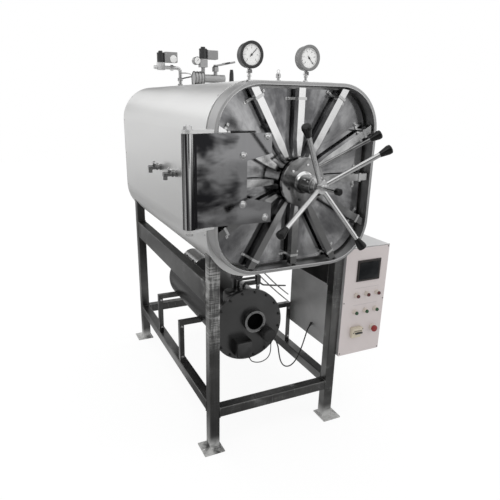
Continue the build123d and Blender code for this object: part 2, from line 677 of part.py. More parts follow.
def make_boiler_fittings(axis, shell):
    riser_y = boiler_front + RISER_SETBACK
    pipe_y = boiler_front + PIPE_SETBACK
    foot = axis.Z + sqrt(BOILER_RADIUS ** 2 - (RISER_X - axis.X) ** 2) - BOILER_WALL
    riser = rod((RISER_X, riser_y, foot), (RISER_X, riser_y, jacket_bottom - REST_GAP), RISER_RADIUS)
    mid = (foot + jacket_bottom) / 2
    body_low = mid - VALVE_BODY_LENGTH / 2
    for z in (body_low, body_low + VALVE_BODY_LENGTH - RISER_NUT):
        riser += hexagon(RISER_X, riser_y, z, RISER_NUT_RADIUS, RISER_NUT)
    riser += rod((RISER_X, riser_y, body_low), (RISER_X, riser_y, body_low + VALVE_BODY_LENGTH),
                 VALVE_BODY_RADIUS)
    wheel_y = riser_y - VALVE_BODY_RADIUS - WHEEL_STEM
    riser += rod((RISER_X, riser_y, mid), (RISER_X, wheel_y, mid), WHEEL_STEM_RADIUS)
    riser += rod((RISER_X, wheel_y, mid), (RISER_X, wheel_y - WHEEL_DEPTH, mid), WHEEL_RADIUS)

    top = axis.Z + BOILER_RADIUS + POT_RISE
    pot = turned([(0, 0), (POT_RADIUS, 0), (POT_RADIUS, POT_HEIGHT - POT_ROUND),
                  (POT_RADIUS - POT_ROUND * 0.3, POT_HEIGHT - POT_ROUND * 0.3),
                  (POT_RADIUS - POT_ROUND, POT_HEIGHT), (0, POT_HEIGHT)],
                 (POT_X, boiler_front + POT_SETBACK, top - POT_HEIGHT), (0, 0, 1))

    low = axis.Z + BOILER_RADIUS + PIPE_RISE
    high = low + PIPE_SPACING
    root_z = axis.Z + BOILER_RADIUS - PIPE_RADIUS
    feed = swept(((PIPE_X, pipe_y, root_z), (PIPE_X, pipe_y, low), (PIPE_END_X, pipe_y, low)),
                 PIPE_RADIUS, PIPE_BEND)
    back_x = PIPE_X - 2 * PIPE_BEND
    feed += swept(((back_x, pipe_y, root_z), (back_x, pipe_y, high), (PIPE_END_X, pipe_y, high)),
                  PIPE_RADIUS, PIPE_BEND)
    feed += centred_box(PIPE_END_X, pipe_y, (low + high) / 2, FEED_BLOCK, FEED_BLOCK,
                        high - low + FEED_BLOCK)
    nodes["boiler_fittings"] = Compound([riser - shell, pot - shell, feed - shell])


def make_control_box():
    left = frame_half
    front = frame_front - BOX_FRONT_OVERHANG
    body = Pos(left + BOX_WIDTH / 2, front + BOX_DEPTH / 2, BOX_BOTTOM + BOX_HEIGHT / 2) * Box(
        BOX_WIDTH, BOX_DEPTH, BOX_HEIGHT)
    nodes["control_box"] = fillet(body.edges().filter_by(Axis.Y), BOX_EDGE)
    face = front - PANEL_SHEET
    sheet = Pos(left + BOX_WIDTH / 2, front - PANEL_SHEET / 2, BOX_BOTTOM + BOX_HEIGHT / 2) * Box(
        BOX_WIDTH, PANEL_SHEET, BOX_HEIGHT)
    nodes["panel_face"] = fillet(sheet.edges().filter_by(Axis.Y), BOX_EDGE)
    screen_z = BOX_BOTTOM + BOX_HEIGHT - SCREEN_TOP_MARGIN - SCREEN_HEIGHT / 2
    screen = centred_box(left + SCREEN_LEFT + SCREEN_WIDTH / 2, face - SCREEN_DEPTH / 2, screen_z,
                         SCREEN_WIDTH, SCREEN_DEPTH, SCREEN_HEIGHT)
    nodes["touch_screen"] = chamfer(screen.faces().sort_by(Axis.Y)[0].edges(), 2)

    def turned_on_panel(profile, x, z):
        return turned(profile, (left + x, face, BOX_BOTTOM + z), (0, -1, 0))

    lamp = [(0, 0), (LAMP_RADIUS, 0), (LAMP_RADIUS, 4), (LAMP_LENS_RADIUS + 1, 6),
            (LAMP_LENS_RADIUS, LAMP_HEIGHT - 3), (LAMP_LENS_RADIUS - 3, LAMP_HEIGHT), (0, LAMP_HEIGHT)]
    button = [(0, 0), (LAMP_RADIUS, 0), (LAMP_RADIUS, 5), (LAMP_LENS_RADIUS + 1, 7),
              (LAMP_LENS_RADIUS, 7), (LAMP_LENS_RADIUS, BUTTON_HEIGHT - 1),
              (LAMP_LENS_RADIUS - 1, BUTTON_HEIGHT), (0, BUTTON_HEIGHT)]
    nodes["pilot_lamps"] = Compound([turned_on_panel(lamp, x, LAMP_ROW) for x in LAMP_COLUMNS])
    nodes["push_buttons"] = Compound([turned_on_panel(button, x, BUTTON_ROW) for x in LAMP_COLUMNS])
    breaker = centred_box(left + BREAKER_X, face - BREAKER_DEPTH / 2, BOX_BOTTOM + BREAKER_Z,
                          BREAKER_WIDTH, BREAKER_DEPTH, BREAKER_HEIGHT)
    nodes["breaker"] = breaker
    stop = [(0, 0), (STOP_RADIUS, 0), (STOP_RADIUS, 3), (STOP_STEM_RADIUS, 3),
            (STOP_STEM_RADIUS, STOP_HEIGHT - 18), (STOP_RADIUS, STOP_HEIGHT - 14),
            (STOP_RADIUS, STOP_HEIGHT - 5), (STOP_RADIUS - 5, STOP_HEIGHT), (0, STOP_HEIGHT)]
    nodes["emergency_stop"] = turned_on_panel(stop, STOP_X, STOP_Z)


def make_top_fittings():
    cases = []
    gauge_y = jacket_front - GAUGE_OVERHANG
    for x in (GAUGE_LEFT_X, GAUGE_RIGHT_X):
        foot = jacket_top if abs(x) < JACKET_WIDTH / 2 - JACKET_CORNER else (
            jacket_top - JACKET_CORNER + sqrt(
                JACKET_CORNER ** 2 - (abs(x) - JACKET_WIDTH / 2 + JACKET_CORNER) ** 2))
        centre_z = jacket_top + GAUGE_HEIGHT
        ring_top = ring_centre_z + ring_height / 2
        front = gauge_y - GAUGE_DEPTH / 2
        case = turned([(0, 0), (GAUGE_DIAL_RADIUS + 2, 0), (GAUGE_DIAL_RADIUS + 2, GAUGE_DEPTH - 12),
                       (GAUGE_RADIUS, GAUGE_DEPTH - 10), (GAUGE_RADIUS, GAUGE_DEPTH),
                       (GAUGE_DIAL_RADIUS, GAUGE_DEPTH), (GAUGE_DIAL_RADIUS, GAUGE_DEPTH - 8),
                       (0, GAUGE_DEPTH - 8)], (x, front + GAUGE_DEPTH, centre_z), (0, -1, 0))
        low = min(foot, ring_top) - 40
        stem = rod((x, gauge_y, low), (x, gauge_y, centre_z - GAUGE_DIAL_RADIUS + 4), GAUGE_STEM_RADIUS)
        stem += Pos(x, gauge_y, centre_z - GAUGE_RADIUS - 18) * extrude(RegularPolygon(13, 6), 14)
        body = rounded_prism(ring_width + 2 * REST_GAP, ring_height + 2 * REST_GAP, ring_corner + REST_GAP,
                             ring_centre_z, ring_front - 1, jacket_front + 1)
        cases.append(case + (stem - body))
    nodes["pressure_gauges"] = Compound(cases)


def make_top_valves():
    pipe_y = jacket_front + STEAM_PIPE_SETBACK
    pipe_z = jacket_top + STEAM_PIPE_RISE
    riser_x = STEAM_PIPE_X
    outer_x = riser_x - STEAM_PIPE_REACH
    bend = 2 * TOP_PIPE_RADIUS
    steam = swept(((riser_x, pipe_y, jacket_top), (riser_x, pipe_y, pipe_z),
                   (outer_x, pipe_y, pipe_z)), TOP_PIPE_RADIUS, bend)
    steam += hexagon(riser_x, pipe_y, jacket_top, UNION_RADIUS, UNION_HEIGHT)
    steam += hexagon(riser_x, pipe_y, jacket_top + 2 * UNION_HEIGHT, UNION_RADIUS, UNION_HEIGHT)
    side_union = Rot(0, 90, 0) * extrude(RegularPolygon(UNION_RADIUS, 6), UNION_HEIGHT)
    steam += Pos(riser_x - UNION_SETBACK, pipe_y, pipe_z) * side_union
    valve_x = outer_x + VALVE_BLOCK
    valve_top = pipe_z + VALVE_BLOCK / 2 + 8
    steam += centred_box(valve_x, pipe_y, valve_top - VALVE_BLOCK / 2, VALVE_BLOCK, VALVE_BLOCK * 0.8,
                         VALVE_BLOCK)
    nodes["steam_valve"] = steam

    def coil(x, y, z):
        body = Pos(x, y, z) * Cylinder(COIL_RADIUS, COIL_HEIGHT, align=(Align.CENTER, Align.CENTER, Align.MIN))
        cap = Pos(x, y, z + COIL_HEIGHT) * Cylinder(COIL_RADIUS * 0.6, COIL_CAP,
                                                    align=(Align.CENTER, Align.CENTER, Align.MIN))
        return body + cap

    vent_y = jacket_front + VENT_SETBACK
    vent_z = jacket_top + VENT_RISE
    ball_top = jacket_top + BALL_VALVE_RISE
    vent_top = vent_z + VALVE_BLOCK / 2
    nodes["solenoid_coils"] = Compound([coil(valve_x, pipe_y, valve_top), coil(VENT_X, vent_y, vent_top)])

    switch_x = valve_x + COIL_RADIUS + SWITCH_BOX[0] / 2
    switch = centred_box(switch_x, pipe_y, valve_top + SWITCH_BOX[2] / 2, *SWITCH_BOX)
    relay_x = VENT_X + COIL_RADIUS + RELAY_BOX[0] / 2
    relay = centred_box(relay_x, vent_y, vent_top + RELAY_BOX[2] / 2, *RELAY_BOX)
    nodes["switch_boxes"] = Compound([fillet(switch.edges(), 4), fillet(relay.edges(), 4)])

    vent = rod((VENT_X, vent_y, jacket_top), (VENT_X, vent_y, vent_z), TOP_PIPE_RADIUS)
    vent += centred_box(VENT_X, vent_y, vent_z, VALVE_BLOCK, VALVE_BLOCK * 0.8, VALVE_BLOCK)
    trap_z = jacket_top + TRAP_RADIUS + 6
    vent += rod((VENT_X - TRAP_LENGTH, vent_y, trap_z), (VENT_X, vent_y, trap_z), TRAP_RADIUS)
    vent += rod((VENT_X, vent_y, trap_z), (VENT_X + STRAINER_LENGTH, vent_y, trap_z), STRAINER_RADIUS)
    dial_z = vent_z + SMALL_GAUGE_RADIUS / 2
    dial_x = VENT_X - TRAP_LENGTH * 0.75
    vent += swept(((VENT_X, vent_y, vent_z), (dial_x, vent_y, vent_z), (dial_x, vent_y, dial_z)),
                  SMALL_PIPE_RADIUS, SMALL_PIPE_RADIUS)
    vent += rod((dial_x, vent_y + SMALL_GAUGE_DEPTH / 2, dial_z), (dial_x, vent_y - SMALL_GAUGE_DEPTH, dial_z),
                SMALL_GAUGE_RADIUS)

    ball_x = VENT_X + BALL_VALVE_SHIFT
    ball = rod((ball_x, vent_y, jacket_top), (ball_x, vent_y, ball_top), TOP_PIPE_RADIUS)
    ball += hexagon(ball_x, vent_y, ball_top - 2 * UNION_HEIGHT, UNION_RADIUS + 3, UNION_HEIGHT + 6)
    handle_end = (ball_x + BALL_HANDLE, vent_y, ball_top + BALL_HANDLE * 0.16)
    ball += rod((ball_x, vent_y, ball_top - SMALL_PIPE_RADIUS), handle_end, SMALL_PIPE_RADIUS)
    nodes["vent_valves"] = vent + ball

    horn = turned([(0, 0), (HORN_RADIUS, 0), (HORN_RADIUS * 0.5, HORN_HEIGHT * 0.3),
                   (HORN_RADIUS * 0.42, HORN_HEIGHT * 0.8), (HORN_RADIUS * 0.3, HORN_HEIGHT),
                   (0, HORN_HEIGHT)], (HORN_X, vent_y, jacket_top), (0, 0, 1))
    stem = turned([(0, 0), (SAFETY_RADIUS * 0.6, 0), (SAFETY_RADIUS * 0.6, SAFETY_HEIGHT * 0.45),
                   (SAFETY_RADIUS, SAFETY_HEIGHT * 0.5), (SAFETY_RADIUS, SAFETY_HEIGHT * 0.85),
                   (SAFETY_RADIUS * 0.5, SAFETY_HEIGHT), (0, SAFETY_HEIGHT)],
                  (SAFETY_VALVE_X, jacket_front + SAFETY_VALVE_SETBACK, jacket_top), (0, 0, 1))
    nodes["safety_valves"] = Compound([horn, stem])


def cord(points, diameter):
    """Loose cable along points; each arc takes up nearly half of the shorter run beside it."""
    corners = [Vector(*p) for p in points]
    bends = []
    for before, corner, after in zip(corners, corners[1:], corners[2:]):
        turn = radians((corner - before).get_angle(after - corner))
        shorter = min((corner - before).length, (after - corner).length)
        bends.append(BEND_SHARE * shorter / tan(turn / 2))
    print("cable bends", [round(bend) for bend in bends], "for diameter", diameter)
    return swept(points, diameter / 2, bends)


def make_cables():
    """Two loose loops: heater box to plug, and plug to the side of the control box."""
    box_x = BOILER_X + HEATER_BOX_X + HEATER_BOX_WIDTH / 2
    low = BOILER_Z + HEATER_BOX_Z - HEATER_BOX_HEIGHT / 2
    plug_x = BOILER_X + PLUG_X
    plug_z = BOILER_Z + PLUG_Z
    plug_y = boiler_front - PLUG_DEPTH
    cable_y = plug_y + PLUG_DEPTH / 3
    end = Vector(plug_x + PLUG_RADIUS / 2, cable_y, plug_z - PLUG_RADIUS * 0.9)
    start = Vector(box_x - HEATER_BOX_WIDTH / 8, cable_y, low - 1)
    span = end.X - start.X

    def loop(share, drop):
        return start.X + share * span, cable_y - drop * LOOP_DROP / 20, low - drop * LOOP_DROP

    nodes["cable_heater_loop"] = cord(
        (start, loop(0.05, 0.6), loop(0.29, 0.91), loop(0.62, 1), loop(0.92, 0.71), loop(1.04, 0.06), end),
        THIN_CABLE)

    side = frame_half - PANEL_SHEET
    gland = Vector(plug_x + PLUG_RADIUS * 0.95, cable_y, plug_z - PLUG_RADIUS / 2)
    reach = side - gland.X
    fall = plug_z - SUPPLY_DROP

    def supply(share, height, shift):
        return gland.X + share * reach, cable_y + shift * SUPPLY_SHIFT, fall + height * SUPPLY_DROP

    nodes["cable_supply_loop"] = cord(
        (gland, supply(0.11, 0.72, 0.11), supply(0.17, 0.44, 0.27), supply(0.25, 0.19, 0.45),
         supply(0.38, 0.02, 0.64), supply(0.53, 0, 0.73), supply(0.66, 0.15, 0.8), supply(0.75, 0.38, 0.86),
         supply(0.83, 0.58, 0.97), supply(0.9, 0.72, 1.12), (side, cable_y + 1.28 * SUPPLY_SHIFT,
                                                              fall + 0.79 * SUPPLY_DROP)), CABLE)


def make_cocks():
    side = -JACKET_WIDTH / 2
    cock_z = JACKET_CENTRE_Z + COCK_RISE
    bodies = []
    for name, y in zip(("front", "rear"), COCK_Y):
        base = (side, y, cock_z)
        tip = (side - COCK_REACH, y, cock_z)
        body = rod(base, tip, COCK_RADIUS)
        mid_x = side - COCK_REACH * 0.55
        body += rod((mid_x, y, cock_z), (mid_x, y, cock_z + COCK_RADIUS + 12), COCK_RADIUS * 0.6)
        bodies.append(body)
        stem_top = cock_z + COCK_RADIUS + 12 + REST_GAP
        lever = Pos(mid_x, y, stem_top) * Cylinder(COCK_RADIUS * 0.8, 6,
                                                   align=(Align.CENTER, Align.CENTER, Align.MIN))
        lever += Pos(mid_x, y - 35, stem_top + 3) * Box(14, 70, 6)
        nodes[f"cock_lever_{name}"] = lever
    nodes["cock_bodies"] = Compound(bodies)


make_frame()
make_vessel()
make_door()
make_handles()
make_hinge()
make_boiler()
make_control_box()
make_top_fittings()
make_top_valves()
make_cocks()
make_cables()

os.makedirs("parts", exist_ok=True)
for name, shape in nodes.items():
    export_step(shape, f"parts/{name}.step")
print(len(nodes), "nodes")
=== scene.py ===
"""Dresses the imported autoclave: finishes for every node, small fittings, lights, floor and camera."""
from math import cos, pi, radians, sin

import bmesh
import bpy
from mathutils import Matrix, Vector


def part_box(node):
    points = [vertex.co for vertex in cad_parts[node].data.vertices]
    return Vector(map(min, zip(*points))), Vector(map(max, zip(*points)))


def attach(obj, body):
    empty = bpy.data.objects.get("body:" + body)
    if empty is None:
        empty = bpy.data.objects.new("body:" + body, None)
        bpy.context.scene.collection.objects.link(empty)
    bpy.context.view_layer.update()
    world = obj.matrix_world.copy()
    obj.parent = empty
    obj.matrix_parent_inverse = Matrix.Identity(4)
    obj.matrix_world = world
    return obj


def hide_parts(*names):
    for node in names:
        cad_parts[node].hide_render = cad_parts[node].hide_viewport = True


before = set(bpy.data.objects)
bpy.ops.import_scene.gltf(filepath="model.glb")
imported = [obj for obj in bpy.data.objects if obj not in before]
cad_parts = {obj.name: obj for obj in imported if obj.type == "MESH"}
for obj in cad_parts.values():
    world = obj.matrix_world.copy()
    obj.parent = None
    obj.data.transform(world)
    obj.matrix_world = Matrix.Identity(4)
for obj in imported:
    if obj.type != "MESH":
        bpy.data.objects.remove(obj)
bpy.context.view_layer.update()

# Camera of the photograph, metres and radians
CAMERA_PLACE = (-1.2349, -2.8862, 1.8721)
CAMERA_YAW = 0.434
CAMERA_PITCH = -0.329
CAMERA_ROLL = 0.015
FOCAL_PIXELS = 482.78
CENTRE_PIXELS = (237.07, 267.49)
FRAME_PIXELS = 500
SENSOR_MM = 36

scene = bpy.context.scene
scene.view_settings.view_transform = "Standard"


def place_camera():
    """Camera of the photograph, made the scene's camera."""
    data = bpy.data.cameras.new("camera")
    data.sensor_width = SENSOR_MM
    data.lens = SENSOR_MM * FOCAL_PIXELS / FRAME_PIXELS
    data.shift_x = (FRAME_PIXELS / 2 - CENTRE_PIXELS[0]) / FRAME_PIXELS
    data.shift_y = (CENTRE_PIXELS[1] - FRAME_PIXELS / 2) / FRAME_PIXELS
    data.clip_end = 60
    camera = bpy.data.objects.new("camera", data)
    scene.collection.objects.link(camera)
    forward = Vector((sin(CAMERA_YAW) * cos(CAMERA_PITCH), cos(CAMERA_YAW) * cos(CAMERA_PITCH),
                      sin(CAMERA_PITCH)))
    level = Vector((cos(CAMERA_YAW), -sin(CAMERA_YAW), 0))
    above = level.cross(forward)
    right = cos(CAMERA_ROLL) * level + sin(CAMERA_ROLL) * above
    up = -sin(CAMERA_ROLL) * level + cos(CAMERA_ROLL) * above
    turn = Matrix((right, up, -forward)).transposed().to_4x4()
    camera.matrix_world = Matrix.Translation(CAMERA_PLACE) @ turn
    scene.camera = camera


place_camera()


CORD_ROUTES = {
    "cable_heater_loop": (
        0.006, 0.290,
        ((-0.1113, -0.6413, 0.481), (-0.1041, -0.6434, 0.440), (-0.0697, -0.6445, 0.4183),
         (-0.0224, -0.6448, 0.412), (0.0205, -0.6438, 0.4323), (0.0377, -0.6415, 0.4778),
         (0.032, -0.6413, 0.550))),
    "cable_supply_loop": (
        0.008, 0.672,
        ((0.050, -0.6413, 0.566), (0.0893, -0.6292, 0.5014), (0.1107, -0.6116, 0.4169),
         (0.1393, -0.5918, 0.3414), (0.1857, -0.5709, 0.290), (0.2392, -0.561, 0.284),
         (0.2856, -0.5533, 0.3293), (0.3177, -0.5467, 0.3988), (0.3463, -0.5346, 0.4592),
         (0.3713, -0.5181, 0.5014), (0.407, -0.5005, 0.5226))),
}
loose_cords = []


def hang_cords():
    """The two cables below the boiler, each on the route of its solid."""
    for node, (diameter, length, route) in CORD_ROUTES.items():
        data = bpy.data.curves.new(node, "CURVE")
        data.dimensions = "3D"
        data.bevel_depth = 1.0
        data.bevel_resolution = 5
        data.use_fill_caps = True
        spline = data.splines.new("NURBS")
        spline.points.add(len(route) - 1)
        for point, place in zip(spline.points, route):
            point.co = (*place, 1)
            point.radius = diameter / 2
        spline.order_u = 3
        spline.use_endpoint_u = True
        spline.resolution_u = 16
        flex = bpy.data.objects.new(node + "_flex", data)
        scene.collection.objects.link(flex)
        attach(flex, "root")
        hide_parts(node)
        loose_cords.append(flex)


hang_cords()


class Signal:
    """A shader socket that takes part in arithmetic."""

    def __init__(self, finish, socket):
        self.finish = finish
        self.socket = socket

    def maths(self, operation, *values):
        inputs = {i: v for i, v in enumerate(values)}
        return self.finish.add("Math", inputs, operation=operation)

    def __add__(self, other):
        return self.maths("ADD", self, other)

    def __radd__(self, other):
        return self.maths("ADD", other, self)

    def __sub__(self, other):
        return self.maths("SUBTRACT", self, other)

    def __rsub__(self, other):
        return self.maths("SUBTRACT", other, self)

    def __mul__(self, other):
        return self.maths("MULTIPLY", self, other)

    def __rmul__(self, other):
        return self.maths("MULTIPLY", other, self)

    def __truediv__(self, other):
        return self.maths("DIVIDE", self, other)

    def swing(self, amount):
        """The signal's departure from its middle value, times amount."""
        return (self - 0.5) * amount

    def ramp(self, low, high, out_low=0.0, out_high=1.0):
        """Smooth step from out_low to out_high as the signal passes from low to high."""
        return self.finish.add("MapRange", {0: self, 1: low, 2: high, 3: out_low, 4: out_high},
                               interpolation_type="SMOOTHSTEP")

    def part(self, axis):
        """One coordinate of a vector signal."""
        return self.finish.add("SeparateXYZ", {0: self}, output="XYZ".index(axis))


class Finish:
    """One material, built from nodes on the object's own coordinates."""

    def __init__(self, name, colour, roughness=0.5, metallic=0.0, **fixed):
        self.material = bpy.data.materials.new(name)
        self.material.use_nodes = True
        self.nodes = self.material.node_tree.nodes
        self.links = self.material.node_tree.links
        self.nodes.clear()
        self.shader = self.nodes.new("ShaderNodeBsdfPrincipled")
        out = self.nodes.new("ShaderNodeOutputMaterial")
        self.links.new(self.shader.outputs[0], out.inputs[0])
        self.material.diffuse_color = (*colour, 1)
        self.set(**{"Base Color": (*colour, 1), "Roughness": roughness, "Metallic": metallic})
        self.set(**{key.replace("_", " "): value for key, value in fixed.items()})

    def feed(self, socket, value):
        if isinstance(value, Signal):
            self.links.new(value.socket, socket)
        elif isinstance(value, bpy.types.NodeSocket):
            self.links.new(value, socket)
        elif socket.type == "VECTOR" or socket.type == "RGBA":
            size = 4 if socket.type == "RGBA" else 3
            socket.default_value = (*value, 1)[:size] if len(value) < size else value
        else:
            socket.default_value = value

    def set(self, **values):
        for key, value in values.items():
            self.feed(self.shader.inputs[key], value)

    def add(self, kind, inputs, output=0, **settings):
        node = self.nodes.new("ShaderNode" + kind)
        for key, value in settings.items():
            setattr(node, key, value)
        for key, value in inputs.items():
            self.feed(node.inputs[key], value)
        return Signal(self, node.outputs[output])

    def place(self, scale=(1, 1, 1), turn=(0, 0, 0)):
        """Object coordinates, turned and scaled."""
        where = self.add("TexCoord", {}, output=3)
        return self.add("Mapping", {"Vector": where, "Rotation": turn, "Scale": scale})

    def noise(self, where, scale, detail=3.0, rough=0.5, warp=0.0):
        return self.add("TexNoise", {"Vector": where, "Scale": scale, "Detail": detail, "Roughness": rough,
                                     "Distortion": warp})

    def blend(self, factor, first, second):
        """Colour that goes from first to second with factor."""
        return self.add("Mix", {0: factor, 6: first, 7: second}, output=2, data_type="RGBA")

    def tone(self, colour, factor):
        """Colour made darker or lighter by a signal around 1."""
        grey = self.add("CombineColor", {0: factor, 1: factor, 2: factor})
        return self.add("Mix", {0: 1.0, 6: colour, 7: grey}, output=2, data_type="RGBA",
                        blend_type="MULTIPLY")

    def bump(self, height, depth, strength=1.0):
        """Relief of the given depth in metres."""
        self.set(Normal=self.add("Bump", {"Height": height, "Distance": depth, "Strength": strength}))


# Centre height of the door, and the weld heights of a leg with the reach of their grinding, in metres
HUB_Z = 1.522
WELD_HEIGHTS = ((0.26, 0.07), (0.94, 0.10), (0.02, 0.02))

# Relief of the finest grain, in metres, and colours that several finishes share
GRAIN_DEPTH = 0.00006
MOULD_DEPTH = 0.00003
FILM_COLOUR = (0.62, 0.62, 0.61)
# Pale colour of the painted reflection strips on the hinge post
POST_PAINTED_REFLECTION = (0.75, 0.75, 0.75)
# Full colour of the painted highlights on bars and hub
POLISHED_HIGHLIGHT = (0.95, 0.95, 0.95)


def steel(name, colour, roughness, grain=(4, 260, 260), streak=0.10, cloud=0.12, cloud_scale=2.6,
          rough_swing=0.10):
    """Stainless steel with a directional grain and soft clouds."""
    finish = Finish(name, colour, roughness, metallic=1.0)
    along = finish.noise(finish.place(scale=grain), 1.0, 4, 0.6)
    clouds = finish.noise(finish.place(), cloud_scale, 3, 0.55, 0.3)
    shade = 1.0 + along.swing(streak) + clouds.swing(cloud)
    rough = roughness + along.swing(rough_swing) + clouds.swing(rough_swing)
    finish.set(**{"Base Color": finish.tone(colour, shade), "Roughness": rough})
    finish.bump(along, GRAIN_DEPTH)
    return finish.material


def moulded(name, colour, roughness=0.3, coat=0.0, dust=0.03, shine=0.5):
    """Smooth plastic or paint with a faint unevenness."""
    finish = Finish(name, colour, roughness, Coat_Weight=coat, Coat_Roughness=0.08,
                    Specular_IOR_Level=shine)
    fine = finish.noise(finish.place(), 420.0, 2)
    wide = finish.noise(finish.place(), 14.0, 3, 0.6)
    finish.set(**{"Base Color": finish.tone(colour, 1.0 + wide.swing(dust) * 4),
                  "Roughness": roughness + wide.swing(0.15)})
    finish.bump(fine, MOULD_DEPTH)
    return finish.material


def frame_steel(name, colour, film, low_film=0.0, high_film=0.0):
    """Hand-ground frame tube: dark brushed steel, cross scratches at the welds and rests of white film."""
    finish = Finish(name, colour, 0.34, metallic=1.0)
    where = finish.place()
    height = where.part("Z")
    depth = where.part("Y")
    along = finish.noise(finish.place(scale=(160, 160, 4)), 1.0, 4, 0.6)
    clouds = finish.noise(where, 5.5, 4, 0.6, 0.5)
    first = finish.noise(finish.place(scale=(9, 9, 170), turn=(0.5, 0.6, 0.4)), 1.0, 4, 0.6)
    second = finish.noise(finish.place(scale=(170, 9, 9), turn=(0.4, -0.7, 0.6)), 1.0, 4, 0.6)
    scratches = (first.ramp(0.60, 0.74) + second.ramp(0.60, 0.74)).ramp(0.0, 1.0)
    ground = 0.0
    for centre, reach in WELD_HEIGHTS:
        away = (height - centre) / reach
        ground = ground + (0.0 - away * away).maths("EXPONENT", 0.0 - away * away)
    ends = depth.maths("ABSOLUTE", depth).ramp(0.55, 0.70)
    ground = (ground * ends).ramp(0.15, 1.0)
    wipe = finish.noise(finish.place(scale=(5, 3.2, 7), turn=(0.3, 0.2, 0.1)), 1.0, 5, 0.62, 0.9)
    weave = (first + second) * 0.5
    texture = weave.ramp(0.44, 0.58, 0.12, 1.0)
    patch = wipe.ramp(0.55, 0.70) * texture * film
    if low_film:
        patch = patch.maths("MAXIMUM", patch, height.ramp(0.10, 0.02) * wipe.ramp(0.35, 0.5) * low_film)
    if high_film:
        upper = height.ramp(0.60, 0.72) * wipe.ramp(0.30, 0.55) * texture * high_film
        patch = patch.maths("MAXIMUM", patch, upper)
    shade = 1.0 + along.swing(0.5) + clouds.swing(1.3) + ground * scratches * 1.6
    bare = finish.tone(colour, shade)
    finish.set(**{"Base Color": finish.blend(patch, bare, FILM_COLOUR),
                  "Roughness": 0.30 + along.swing(0.12) + patch * 0.3 + ground * 0.12,
                  "Metallic": 1.0 - patch * 0.75})
    finish.bump(along + scratches * ground, 0.00008)
    return finish.material


def mirror_with_painted_reflections(name, colour, dark, scale, roughness=0.12, streak=(2, 2, 2), warp=0.9,
                 strip_end=None):
    """Polished sheet with broad dark and light clouds of painted reflection in its colour; with strip_end,
    painted reflection strips on the post beyond it.
    """
    finish = Finish(name, colour, roughness, metallic=1.0)
    wide = finish.noise(finish.place(scale=streak), scale, 3, 0.55, warp)
    fine = finish.noise(finish.place(scale=(60, 60, 4)), 1.0, 3, 0.6)
    # The clouds are painted reflections: dark and light patches in the base colour
    cloud = wide.ramp(0.36, 0.62)
    painted_light = colour
    if strip_end is not None:
        # Painted reflections: vertical strips on the hinge post, and a paler inner part of the yoke
        painted_reflection_strips = finish.noise(finish.place(scale=(34, 34, 0.35)), 1.7, 1, 0.4).ramp(0.42, 0.58)
        on_post = finish.place().part("X").ramp(strip_end, strip_end - 0.004)
        painted_pale_part = finish.place().part("X").ramp(-0.34, -0.30) * 0.75
        cloud = cloud.maths("MINIMUM", cloud + painted_pale_part, 1.0) * (1.0 - on_post) + painted_reflection_strips * on_post
        painted_light = finish.blend(on_post, colour, POST_PAINTED_REFLECTION)
    tinted = finish.tone(finish.blend(cloud, dark, painted_light), 1.0 + fine.swing(0.10))
    finish.set(**{"Base Color": tinted,
                  "Roughness": roughness + (1.0 - cloud) * 0.08 + fine.swing(0.05)})
    finish.bump(wide, 0.0006, 0.25)
    return finish.material


def polished_bar(name):
    """Flat bar polished by hand, with painted light: bright where it stands high, painted shade where it
    stands low.
    """
    finish = Finish(name, (0.6, 0.6, 0.6), 0.2, metallic=1.0)
    height = finish.place().part("Z")
    fine = finish.noise(finish.place(scale=(50, 50, 50)), 1.0, 3, 0.6)
    wide = finish.noise(finish.place(), 7.0, 2, 0.5, 0.8)
    # Painted highlight and shade: the colour is brighter the higher the bar stands, broken by clouds
    bright = (height + wide.swing(0.75)).ramp(1.28, 1.86)
    finish.set(**{"Base Color": finish.tone(POLISHED_HIGHLIGHT, bright * 0.70 + 0.22 + fine.swing(0.06)),
                  "Roughness": 0.17 + wide.swing(0.16) + fine.swing(0.06)})
    finish.bump(wide, 0.0008, 0.25)
    return finish.material


def door_sheet(name, colour, dark):
    """Door plate: a polished sheet with painted reflections in its colour, light and dark rays that fan out
    from the hub.
    """
    finish = Finish(name, colour, 0.10, metallic=1.0)
    where = finish.place()
    across, height = where.part("X"), where.part("Z") - HUB_Z
    reach = across.maths("SQRT", across * across + height * height)
    fan = finish.add("CombineXYZ", {0: across / reach * 1.5, 1: height / reach * 1.5, 2: reach * 1.4})
    rays = finish.noise(fan, 3.4, 4, 0.62, 0.2)
    haze = finish.noise(finish.place(scale=(2, 2, 2)), 2.6, 4, 0.6, 0.3)
    fine = finish.noise(finish.place(scale=(60, 60, 4)), 1.0, 3, 0.6)
    # Painted reflections: rays and haze set the colour between dark and colour, and the plate is painted
    # darker toward its top
    light = (rays.ramp(0.32, 0.72) * 0.5 + haze.ramp(0.36, 0.62) * 0.5 + fine.swing(0.16)
             - where.part("Z").ramp(1.62, 1.90) * 0.18)
    finish.set(**{"Base Color": finish.blend(light, dark, colour),
                  "Roughness": 0.17 - light * 0.08 + fine.swing(0.05)})
    finish.bump(haze, 0.0006, 0.25)
    return finish.material


def turned_hub(name):
    """Turned hub with painted light: its upper side is painted bright, its under side is painted dark."""
    finish = Finish(name, (0.5, 0.5, 0.5), 0.14, metallic=1.0)
    where = finish.place()
    height = where.part("Z") - HUB_Z
    wide = finish.noise(finish.place(scale=(9, 3, 9)), 1.6, 2, 0.5, 0.8)
    rings = finish.noise(finish.place(scale=(4, 240, 4)), 1.0, 2, 0.6)
    # Painted highlight on the upper side and painted shade on the under side
    bright = (height + wide.swing(0.02)).ramp(-0.030, 0.034)
    finish.set(**{"Base Color": finish.tone(POLISHED_HIGHLIGHT, bright * 0.86 + 0.05 + rings.swing(0.12)),
                  "Roughness": 0.13 + rings.swing(0.1)})
    finish.bump(rings, 0.0003, 0.3)
    return finish.material


